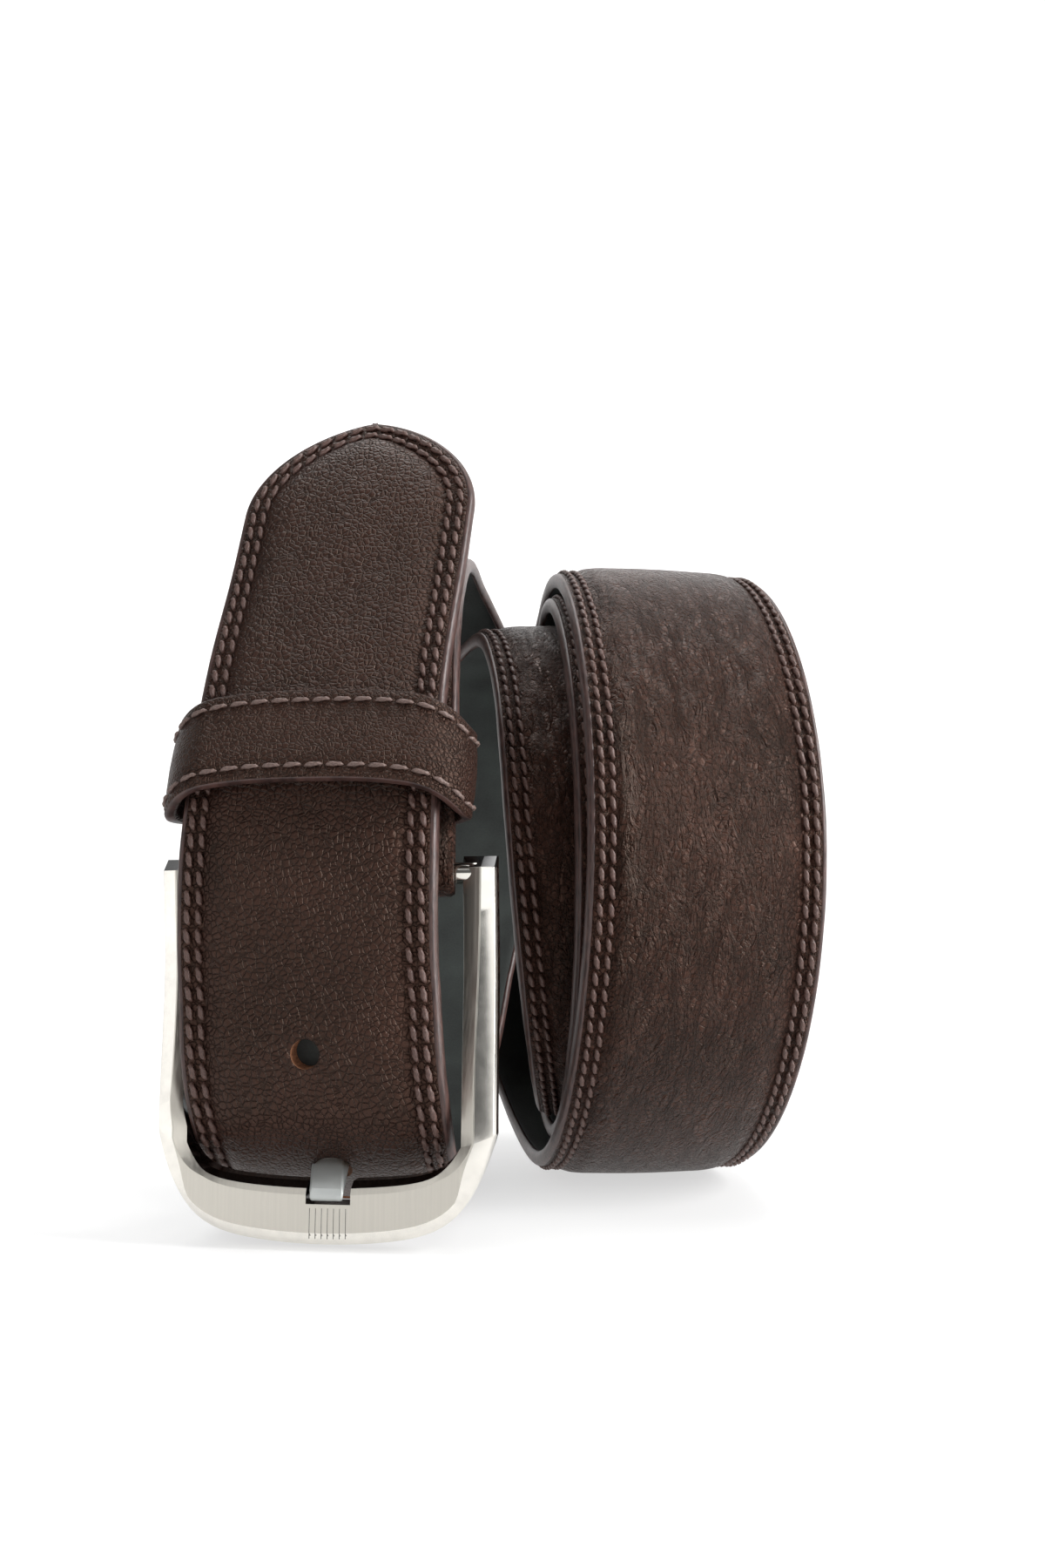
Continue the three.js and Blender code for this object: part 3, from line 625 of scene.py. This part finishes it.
def fibre_material(name, scale, dark, light, strength, roughness):
    """Loose fibres, as on cut leather or felt."""
    material, tree, shader = new_material(name)
    place = node(tree, "ShaderNodeTexCoord").outputs["Object"]
    fibres = noise(tree, place, scale, 5.0)
    feed(tree, shader, ramp(tree, fibres, (0.3, dark), (0.7, light)), bump(tree, fibres, 0.0001, strength),
         roughness)
    return material


def thread_material(name, dark, light):
    """Waxed two-ply thread: fine fibres that run round with the twist."""
    material, tree, shader = new_material(name)
    fibre = noise(tree, strap_uv(tree, (9, 2, 1), 0.5), 2.0, 3.0)
    feed(tree, shader, ramp(tree, fibre, (0.3, dark), (0.7, light)), bump(tree, fibre, 0.00008, 0.7), 0.48)
    return material


def metal_material(name, color, roughness, lines=None, metallic=1.0):
    """Plated metal. lines gives the brushing's scale along and across the object's own axes."""
    material, tree, shader = new_material(name)
    shader.inputs["Metallic"].default_value = metallic
    place = node(tree, "ShaderNodeTexCoord").outputs["Object"]
    vector = node(tree, "ShaderNodeMapping", {"Vector": place, "Scale": lines or (600, 600, 600)})
    marks = noise(tree, vector.outputs["Vector"], 1.0, 4.0, 0.6)
    spread = 0.10 if lines else 0.03
    feed(tree, shader, ramp(tree, marks, (0.3, tuple(c * 0.9 for c in color)), (0.7, color)),
         bump(tree, marks, 0.00003 if lines else 0.000004, 0.5),
         value_ramp(tree, marks, (0.3, roughness - spread / 2), (0.7, roughness + spread)))
    return material


LEATHER = leather_material("face_leather", grain=1.0, crease=0.25)
# Leather for the bend and the coil: deeper creases, and colours lighter than the front's, as painted light on
# the coil.
CREASED_PAINTED_LIGHT = leather_material("creased_leather_painted_light", grain=0.85, crease=1.3, dark=(0.010, 0.0042, 0.0031),
                           light=(0.056, 0.0235, 0.0165))
KEEPER_LEATHER = leather_material("keeper_leather", grain=1.25, crease=0.2)
LINING = lining_material()
PAINT = paint_material()
RAW = fibre_material("raw_leather", 3500.0, (0.10, 0.035, 0.014), (0.36, 0.16, 0.075), 0.7, 0.85)
THREAD = thread_material("waxed_thread", (0.030, 0.0135, 0.0105), (0.125, 0.066, 0.052))
KEEPER_THREAD = thread_material("keeper_thread", (0.050, 0.028, 0.024), (0.190, 0.125, 0.105))
FELT = fibre_material("filler_felt", 2500.0, (0.14, 0.10, 0.07), (0.34, 0.27, 0.20), 0.6, 0.9)
BRUSHED = metal_material("brushed_nickel", (0.62, 0.59, 0.53), 0.34, lines=(2600, 2600, 35))
BRIGHT = metal_material("bright_nickel", (0.86, 0.83, 0.77), 0.2)
POLISHED = metal_material("polished_nickel", (0.80, 0.77, 0.71), 0.1)
# A darkened copy of the nickel: painted shade on the frame's inner walls, arm tops, end caps, notch and
# engraved lines.
NICKEL_PAINTED_SHADE = metal_material("nickel_painted_shade", (0.10, 0.10, 0.10), 0.16)
PRONG_GREY = metal_material("prong_nickel", (0.50, 0.52, 0.51), 0.42, metallic=0.4)


def dress(obj, material):
    obj.data.materials.append(material)
    return obj


# ---------- holes ----------
def buckle_space(points):
    """Buckle coordinates (along the bar, forward, up from the bar) to millimetres in the frame."""
    points = np.asarray(points, float)
    c, s = math.cos(BUCKLE_YAW), math.sin(BUCKLE_YAW)
    turn = np.array([[c, -s, 0], [s, c, 0], [0, 0, 1]])
    return (points * [1, -1, 1]) @ turn.T + BUCKLE + COIL_AT


def cutter(bm, matrix, material):
    """A solid to subtract, with the material that its cut faces take."""
    mesh = bpy.data.meshes.new("cutter")
    bm.to_mesh(mesh)
    bm.free()
    mesh.materials.append(material)
    obj = bpy.data.objects.new("cutter", mesh)
    bpy.context.scene.collection.objects.link(obj)
    obj.matrix_world = matrix
    return obj


def round_cutter(place, direction, radius):
    bm = bmesh.new()
    bmesh.ops.create_cone(bm, cap_ends=True, segments=48, radius1=radius * MM, radius2=radius * MM,
                          depth=PUNCH_DEPTH * MM)
    turn = Vector((0, 0, 1)).rotation_difference(Vector(direction)).to_matrix().to_4x4()
    return cutter(bm, Matrix.Translation(Vector(place) * MM) @ turn, RAW)


def box_cutter(place, size, material):
    """A box in line with the hinge bar, at a place in buckle coordinates."""
    bm = bmesh.new()
    bmesh.ops.create_cube(bm, size=1)
    move = Matrix.Translation(Vector(buckle_space([place])[0]) * MM) @ Matrix.Rotation(BUCKLE_YAW, 4, "Z")
    return cutter(bm, move @ Matrix.Diagonal((*(Vector(size) * MM), 1)), material)


def subtract(obj, tool):
    modifier = obj.modifiers.new("cut", "BOOLEAN")
    modifier.object = tool
    modifier.operation = "DIFFERENCE"
    modifier.solver = "EXACT"
    modifier.material_mode = "TRANSFER"
    bpy.context.view_layer.update()
    with bpy.context.temp_override(object=obj, active_object=obj):
        bpy.ops.object.modifier_apply(modifier="cut")
    bpy.data.objects.remove(tool)


def hole_list(*lengths):
    place, _, normal = strap_frames(np.array(lengths))
    return [(p, n, HOLE_RADIUS) for p, n in zip(place, normal)]


def prong_hole():
    """The hole in use, cut along the prong and wider than the others."""
    along = [0.25, math.sin(PRONG_SLANT), -math.cos(PRONG_SLANT)]
    place, ahead = buckle_space([PRONG_HOLE, PRONG_HOLE + along])
    return place, ahead - place, PRONG_HOLE_RADIUS


# ---------- strap ----------
SPANS = {"front": (0.0, FRONT_END), "bend": (FRONT_END, BEND_END), "coil": (BEND_END, TOTAL)}
HOLES = {
    "front": [prong_hole(), *hole_list(USED_HOLE - HOLE_PITCH)],
    "bend": hole_list(USED_HOLE + HOLE_PITCH, USED_HOLE + 2 * HOLE_PITCH),
    "coil": hole_list(USED_HOLE + 3 * HOLE_PITCH),
}


def ride_strap(obj, span):
    """Bakes the front and bend pieces' placement into their meshes, and hangs the coil's pieces on the
    strap's body.
    """
    if span == "front":
        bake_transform(obj)
    elif span == "bend":
        first = strap_frames([FRONT_END])[0][0] * MM
        last = strap_frames([BEND_END])[0][0] * MM
        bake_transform(obj)
    else:
        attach(obj, "strap")


def strap_span(span, start, end):
    """One length of the strap: face leather, lining, filler, painted edges and both stitch rows."""
    far = FOLD_END - 1 if span == "coil" else end
    # The bend and the coil take the leather with painted light; the front keeps the plain leather.
    face = dress(face_piece(f"strap_face_{span}", start, far),
                 LEATHER if span == "front" else CREASED_PAINTED_LIGHT)
    lining = dress(lining_piece(f"strap_lining_{span}", start, end), LINING)
    first = max(start, TIP - 1.5)
    last = min(end, TOTAL - 9)
    filler = dress(filler_piece(f"strap_filler_{span}", first, last), FELT)
    for piece in (face, lining, filler):
        # The lining stays uncut under the unused hole in front: a dark sheet as painted shade inside that
        # hole.
        lining_kept_as_shade = piece is lining and span == "front"  # the unused hole in front looks dark
        for hole in HOLES[span][:1] if lining_kept_as_shade else HOLES[span]:
            subtract(piece, round_cutter(*hole))
    if span == "coil":
        subtract(face, box_cutter((0, 0, 1), SLOT, RAW))
    paint = dress(edge_piece(f"strap_edge_{span}", start, min(end, TOTAL - 1)), PAINT)
    sewn = min(end, TOTAL - 3)
    outer = dress(strap_stitches(f"outer_stitches_{span}", start, sewn, OUTER_ROW), THREAD)
    inner = dress(strap_stitches(f"inner_stitches_{span}", start, sewn, INNER_ROW), THREAD)
    for piece in (face, filler, lining, paint, outer, inner):
        ride_strap(piece, span)
    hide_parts("strap_face_leather")
    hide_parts("strap_filler")
    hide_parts("strap_lining")
    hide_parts("outer_edge_thread")
    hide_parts("inner_edge_thread")


for span, (start, end) in SPANS.items():
    strap_span(span, start, end)


# ---------- fold's cross stitches ----------
def cross_stitches():
    u = np.arange(-CROSS_END, CROSS_END + 0.1, CROSS_PITCH)
    s = np.full(len(u), FOLD_END - CROSS_PLACE)
    level = MARGIN_TOP + 0.2
    ends = np.stack([on_strap(s - 0.12, u - LONG_REACH, level), on_strap(s + 0.12, u + LONG_REACH, level)], 1)
    return stitches("fold_stitches", on_strap(s, u, level), ends, strap_frames(s)[2])


cross = dress(cross_stitches(), THREAD)
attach(cross, "strap")
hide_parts("fold_cross_thread")


# ---------- keeper ----------
def keeper_space():
    """The keeper's place and axes: across the strap, towards its back, and up along it."""
    angle = np.array([KEEPER_ANGLE])
    normal = route_normals(angle)[0]
    yaw = route_rows(angle)[0, 2] * DEG
    width = np.array([math.cos(yaw), math.sin(yaw), 0])
    up = -np.cross(width, normal)
    up = up if up[2] > 0 else -up
    up /= np.linalg.norm(up)
    back = np.cross(up, width)
    place = route_points(angle)[0] + width * KEEPER_SHIFT - normal * KEEPER_BACK
    return place, np.stack([width, back, up])


KEEPER_PLACE, KEEPER_AXES = keeper_space()


def keeper_outline(inset=0.0, step=0.5):
    """Points and outward directions round the loop, starting in the middle of its back."""
    hx, hy, r = KEEPER_HALF - inset, KEEPER_DEPTH / 2 - inset, KEEPER_CORNER - inset
    points, outs = [], []

    def line(a, b, out):
        count = max(2, int(np.hypot(*np.subtract(b, a)) / step))
        for k in range(count):
            points.append(np.array(a) + (np.array(b) - a) * k / count)
            outs.append(out)

    def arc(cx, cy, start):
        count = int(r * math.pi / 2 / step * 1.3)
        for k in range(count):
            a = (start + 90 * k / count) * DEG
            points.append(np.array([cx + r * math.cos(a), cy + r * math.sin(a)]))
            outs.append((math.cos(a), math.sin(a)))

    line((0, hy), (-hx + r, hy), (0, 1))
    arc(-hx + r, hy - r, 90)
    line((-hx, hy - r), (-hx, -hy + r), (-1, 0))
    arc(-hx + r, -hy + r, 180)
    line((-hx + r, -hy), (hx - r, -hy), (0, -1))
    arc(hx - r, -hy + r, 270)
    line((hx, -hy + r), (hx, hy - r), (1, 0))
    arc(hx - r, hy - r, 0)
    line((hx - r, hy), (0, hy), (0, 1))
    return np.array(points), np.array(outs)


def keeper_points(flat, outs, out, up):
    """The loop bows out a little in front, over the padding, and its ends drop slightly."""
    xy = flat + outs * out[..., None]
    front = smooth((-xy[..., 1] - 2) / 6)
    bow = KEEPER_BOW * front * (1 - (xy[..., 0] / KEEPER_HALF) ** 2)
    drop = KEEPER_DROP * (np.abs(xy[..., 0]) / KEEPER_HALF) ** 3 * smooth((8 - xy[..., 1]) / 12)
    local = np.stack([xy[..., 0], xy[..., 1] - bow, up - drop + KEEPER_BOW * front], -1)
    return local @ KEEPER_AXES + KEEPER_PLACE


def keeper_profile():
    """Outward and upward places round the band's section: grooved outside, plain inside."""
    h, t = KEEPER_HEIGHT / 2, KEEPER_THICK
    row = h - KEEPER_ROW
    upper = [(0.28, 0), (0.2, row - 1.8), (0.05, row - 0.7), (-0.12, row), (0.02, row + 0.6), (0, h - 0.45),
             (-0.18, h - 0.1), (-0.45, h)]
    inside = [(-t + 0.3, h), (-t, h - 0.3), (-t, 0), (-t, -h + 0.3), (-t + 0.3, -h)]
    profile = [(out, -up) for out, up in reversed(upper[1:])] + upper + inside
    fine = []
    for (a, b), (c, d) in zip(profile, profile[1:] + profile[:1]):
        parts = max(1, int(np.hypot(c - a, d - b) / 0.5))
        fine += [(a + (c - a) * m / parts, b + (d - b) * m / parts) for m in range(parts)]
    return np.array(fine)


def keeper_band():
    flat, outs = keeper_outline()
    fine = keeper_profile()
    h = KEEPER_HEIGHT / 2
    along = run_lengths_of(flat)[:, None]
    out, up, along = np.broadcast_arrays(fine[None, :, 0], fine[None, :, 1], along)
    wave = 0.05 * np.sin(along / 2.3) * np.exp(-((np.abs(up) - h + KEEPER_ROW) / 0.8) ** 2)
    spread = 0 * up[..., None]
    rings = keeper_points(flat[:, None] + spread, outs[:, None] + spread, out + wave * (out > -0.5), up)
    obj = sweep("keeper_loop", rings, np.stack([up + 3.0, along], 2), closed_run=True)
    obj.data.materials.append(KEEPER_LEATHER)
    obj.data.materials.append(PAINT)
    cut = (np.abs(fine[:, 1]) > h - 0.12) & (fine[:, 0] < -0.1)
    for k, polygon in enumerate(obj.data.polygons):
        if cut[k % len(fine)] and cut[(k + 1) % len(fine)]:
            polygon.material_index = 1
    return obj


def keeper_stitches(name, level):
    flat, outs = keeper_outline(step=0.2)
    along = run_lengths_of(flat)
    count = int(along[-1] / KEEPER_PITCH)
    middle = (np.arange(count) + 0.5) * along[-1] / count

    def at(where, out, up):
        xy = np.stack([np.interp(where, along, flat[:, k]) for k in (0, 1)], 1)
        normal = np.stack([np.interp(where, along, outs[:, k]) for k in (0, 1)], 1)
        return keeper_points(xy, normal, np.full(len(where), out), up), normal

    slant = 0.1 + RNG.normal(0, 0.04, count)
    low, _ = at(middle - LONG_REACH, 0.06, level - slant)
    high, _ = at(middle + LONG_REACH, 0.06, level + slant)
    centre, normal = at(middle, 0.06, level + 0 * middle)
    ups = np.concatenate([normal, 0 * normal[:, :1]], 1) @ KEEPER_AXES
    obj = stitches(name, centre, np.stack([low, high], 1), ups, KEEPER_STITCH_RADIUS)
    return dress(obj, KEEPER_THREAD)


band = keeper_band()
upper_row = keeper_stitches("keeper_upper_stitches", KEEPER_HEIGHT / 2 - KEEPER_ROW)
lower_row = keeper_stitches("keeper_lower_stitches", KEEPER_ROW - KEEPER_HEIGHT / 2)
for piece, nodename in ((band, "keeper_band"), (upper_row, "keeper_upper_thread"),
                        (lower_row, "keeper_lower_thread")):
    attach(piece, "keeper")
    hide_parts(nodename)


# ---------- buckle frame ----------
def lower_edge(u):
    t = np.abs(u - LEAN) / FRAME_HALF
    return OUTER_BAR - 3.4 * t ** 2 - (OUTER_BAR - CORNER_DROP - 3.4) * t ** 7


def opening_edge(t):
    return OPENING_DROP - 1.5 * t ** 2 - 3 * t ** 10


def frame_forward(drop):
    return FRAME_REACH * smooth((drop - 8) / (OPENING_DROP - 8))


def frame_sections():
    """Inner and outer points (along the bar, drop) round the U, and how far each is an arm."""
    drops = np.concatenate([[-ARM_TOP], np.linspace(-0.7, CORNER_DROP - 0.4, 40)])
    bend = np.concatenate([CORNER_STEPS, np.linspace(0.6, 0.02, 14)])
    fall = (drops + ARM_TOP) / (CORNER_DROP + ARM_TOP)
    left_out = np.stack([LEFT_ARM_TAPER * fall - LEFT_ARM_OUT, drops], 1)
    right_out = np.stack([RIGHT_ARM_OUT + RIGHT_ARM_SPREAD * fall, drops], 1)
    left_in = np.stack([1.2 * smooth((drops - 30) / 5) - LEFT_ARM_IN, drops], 1)
    right_in = np.stack([RIGHT_ARM_IN + RIGHT_ARM_SPREAD * fall, drops], 1)
    low_left_out = np.stack([LEAN - bend * FRAME_HALF, lower_edge(LEAN - bend * FRAME_HALF)], 1)
    low_right_out = np.stack([LEAN + bend * FRAME_HALF, low_left_out[:, 1]], 1)
    low_left_in = np.stack([-0.1 - bend * 17.7, opening_edge(bend)], 1)
    low_right_in = np.stack([-0.1 + bend * 18.8, opening_edge(bend)], 1)
    inner = np.concatenate([left_in, low_left_in, low_right_in[::-1], right_in[::-1]])
    outer = np.concatenate([left_out, low_left_out, low_right_out[::-1], right_out[::-1]])
    arm = np.concatenate([np.ones(len(drops)), smooth((bend - 0.8) / 0.2)])
    return inner, outer, np.concatenate([arm, arm[::-1]])


def buckle_frame():
    inner, outer, arm = frame_sections()
    low = smooth((inner[:, 1] + 4) / 34)
    front_in = 1.7 - 0.7 * arm
    crease = 0.2 + arm * (0.2 + 0.16 * (1 - low))
    second = 0.80 - arm * (0.80 - crease - 0.05)
    side = 1.2 - 0.1 * arm
    zero = 0 * arm
    profile = [
        (zero, zero - 2), (zero, front_in - 1.2), (zero + 0.10 - 0.05 * arm, front_in), (crease, zero + 2.0),
        (second, zero + 2.0), (0.93 + 0.02 * arm, side + 0.25), (zero + 1, side - 0.35),
        (zero + 1, zero - 1.2), (zero + 0.86, zero - 2)]
    rings = []
    for t, forward in profile:
        flat = inner + (outer - inner) * t[:, None]
        forward = forward.copy()
        forward[[0, -1]] = np.minimum(forward[[0, -1]], -0.9)
        drop = flat[:, 1]
        rings.append(buckle_space(np.stack([flat[:, 0], frame_forward(drop) + forward, -drop], 1)))
    rings = np.stack(rings, 1)
    obj = sweep("buckle_metal", rings, np.zeros(rings.shape[:2] + (2,)))
    for material in (POLISHED, BRUSHED, NICKEL_PAINTED_SHADE, BRIGHT):
        obj.data.materials.append(material)
    ring = len(profile)
    # The inner walls, the arms' tops and the end caps take the darkened nickel: painted shade.
    looks = [2, 2, 1, 1, 3, 3, 0, 0, 0]
    for polygon in obj.data.polygons[:(len(rings) - 1) * ring]:
        j = polygon.index % ring
        row = polygon.index // ring
        polygon.material_index = looks[j] if 0 < row < len(rings) - 2 else 2
    for polygon in obj.data.polygons[(len(rings) - 1) * ring:]:
        polygon.material_index = 2
    obj.data.set_sharp_from_angle(angle=20 * DEG)
    # The notch's cut faces take the darkened nickel: painted shade in the notch.
    subtract(obj, box_cutter((TIP_SHIFT, FRAME_REACH, -OPENING_DROP),
                             (2 * NOTCH_HALF, NOTCH_CUT, 2 * NOTCH_DEPTH), NICKEL_PAINTED_SHADE))
    soften(obj, 0.16, 24)
    return obj


def soften(obj, width, angle):
    bevel = obj.modifiers.new("soft", "BEVEL")
    bevel.width = width * MM
    bevel.segments = 3
    bevel.limit_method = "ANGLE"
    bevel.angle_limit = angle * DEG
    bevel.harden_normals = True


def engraved_lines():
    """Fine lines cut in the outer bar's face under the notch, drawn as thin strips of darkened nickel at the
    face: painted shade in the grooves.
    """
    pieces = []
    for k in range(LINE_COUNT):
        u = TIP_SHIFT + (k - LINE_COUNT // 2) * LINE_PITCH
        top, bottom = OPENING_DROP + NOTCH_DEPTH + 0.5, lower_edge(u) - 0.9
        drop = np.linspace(top, bottom, 8)
        ring = []
        for a, f in ((-1, -0.12), (1, -0.12), (1, 0.015), (-1, 0.015)):
            line = np.stack([u + 0 * drop + a * LINE_HALF, frame_forward(drop) + 2 + f, -drop], 1)
            ring.append(buckle_space(line))
        rings = np.stack(ring, 1)
        pieces.append(sweep(f"line_{k}", rings, np.zeros(rings.shape[:2] + (2,))))
    return join("buckle_lines", pieces)


metal_frame = buckle_frame()
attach(metal_frame, "frame")
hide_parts("buckle_frame")
lines = dress(engraved_lines(), NICKEL_PAINTED_SHADE)
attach(lines, "frame")


# ---------- hinge bar ----------
def hinge_bar():
    half = OPENING_HALF + 2.6
    where = np.array([-half, -half + 0.12, *np.linspace(-half + 0.4, half - 0.4, 40), half - 0.12, half])
    size = np.full(len(where), BAR_RADIUS)
    size[[0, -1]] -= 0.35
    size[[1, -2]] -= 0.1
    a = np.linspace(0, 2 * math.pi, 32, endpoint=False)
    rings = np.stack([where[:, None] + 0 * a, size[:, None] * np.cos(a), size[:, None] * np.sin(a)], 2)
    rings = buckle_space(rings.reshape(-1, 3)).reshape(rings.shape)
    return sweep("buckle_bar", rings, np.zeros(rings.shape[:2] + (2,)))


bar = dress(hinge_bar(), POLISHED)
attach(bar, "frame")
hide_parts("hinge_bar")


# ---------- prong ----------
def prong():
    loop, thick = 2.9, 2.2
    a = np.arange(200, -1, -10) * DEG
    back = list(zip(loop * np.cos(a), loop * np.sin(a)))
    back += [(2.8, -20), (3.3, -24), (4.7, -28.5), (6.3, -31.8), (7.2, -34.0), (7.45, -35.4), (7.1, -36.6),
             (6.2, -37.7), (4.6, -38.9), (0.2, -40.6), (-4.0, -42.15), (-4.9, -42.4), (-5.7, -42.45)]
    front = [(-6.4, -42.1), (-6.55, -41.5), (-6.3, -40.8), (-5.6, -40.3), (0, -38.3), (3.8, -37.0),
             (4.9, -36.2), (5.3, -35.4), (5.1, -34.2), (4.2, -31.6), (2.7, -28.4), (1.3, -24),
             (loop - thick, -20), (loop - thick, -3.6)]
    b = np.arange(-50, 201, 12) * DEG
    bore = list(zip(PRONG_BORE * np.cos(b), PRONG_BORE * np.sin(b)))
    outline = np.array(back + front + bore)
    count = len(outline)
    below = smooth((-outline[:, 1] - 4) / 10)
    shift = TIP_SHIFT - 2.2 * np.clip((outline[:, 0] + 6.4) / 8, 0, 1) * below - TIP_SHIFT * (1 - below)
    points = np.concatenate([buckle_space(np.stack([shift + u, -outline[:, 0], outline[:, 1]], 1))
                             for u in (-PRONG_HALF, PRONG_HALF)])
    faces = [tuple(range(count)), tuple(reversed(range(count, 2 * count)))]
    faces += [(k, (k + 1) % count, (k + 1) % count + count, k + count) for k in range(count)]
    obj = tidy_normals(make_mesh("buckle_prong", points, faces, np.zeros((2 * count, 2))))
    obj.data.set_sharp_from_angle(angle=30 * DEG)
    soften(obj, 0.4, 40)
    return dress(obj, PRONG_GREY)


pin = prong()
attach(pin, "prong")
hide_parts("prong")


# ---------- camera, floor and light ----------
def look_camera():
    data = bpy.data.cameras.new("camera")
    camera = bpy.data.objects.new("camera", data)
    bpy.context.scene.collection.objects.link(camera)
    camera.location = Vector(COIL_AT - [0, CAMERA_BACK, CAMERA_BELOW]) * MM
    camera.rotation_euler = ((90 + CAMERA_TILT) * DEG, 0, 0)
    data.lens = CAMERA_LENS
    data.sensor_width = 36.0
    data.clip_start = 0.01
    bpy.context.scene.camera = camera


def backdrop_mesh():
    """A pale floor that curves up behind into a wall."""
    run = [(-3.0, 0.0), (1.2, 0.0)]
    run += [(1.2 + 0.8 * math.sin(a * DEG), 0.8 - 0.8 * math.cos(a * DEG)) for a in range(6, 91, 6)]
    run.append((2.0, 4.0))
    points = [(x * 1000, y * 1000, z * 1000 - 0.5) for y, z in run for x in (-4, 4)]
    faces = [(2 * k, 2 * k + 1, 2 * k + 3, 2 * k + 2) for k in range(len(run) - 1)]
    return make_mesh("floor", points, faces)


def area_light(name, place, target, size, power):
    data = bpy.data.lights.new(name, "AREA")
    data.shape = "RECTANGLE"
    data.size, data.size_y = size
    data.energy = power
    light = bpy.data.objects.new(name, data)
    bpy.context.scene.collection.objects.link(light)
    light.location = place
    light.rotation_euler = (Vector(target) - Vector(place)).to_track_quat("-Z", "Y").to_euler()


def floor_and_light():
    floor = backdrop_mesh()
    material, _, shader = new_material("floor")
    shader.inputs["Base Color"].default_value = (0.36, 0.36, 0.36, 1)
    shader.inputs["Roughness"].default_value = 0.7
    shader.inputs["Emission Color"].default_value = (1, 1, 1, 1)
    shader.inputs["Emission Strength"].default_value = 0.6
    floor.data.materials.append(material)
    bpy.context.scene.view_settings.view_transform = "Standard"
    world = bpy.data.worlds.new("studio")
    bpy.context.scene.world = world
    world.use_nodes = True
    background = world.node_tree.nodes["Background"]
    background.inputs["Color"].default_value = (1, 1, 1, 1)
    background.inputs["Strength"].default_value = 0.1
    area_light("key_right", (0.6, -0.2, 0.3), (0.03, 0, 0.06), (0.22, 0.6), 8)
    area_light("top", (0.0, 0.05, 0.8), (0, 0, 0.06), (0.6, 0.6), 4.5)
    area_light("card_left", (-0.5, -0.42, 0.25), (-0.02, 0, 0.04), (0.65, 0.6), 1.4)
    area_light("card_right", (0.3, -0.6, 0.2), (-0.02, 0, 0.04), (0.4, 0.6), 0.9)
    area_light("wall", (0.0, 1.0, 1.6), (0, 2.2, 0.9), (2.5, 0.8), 60)


look_camera()
floor_and_light()
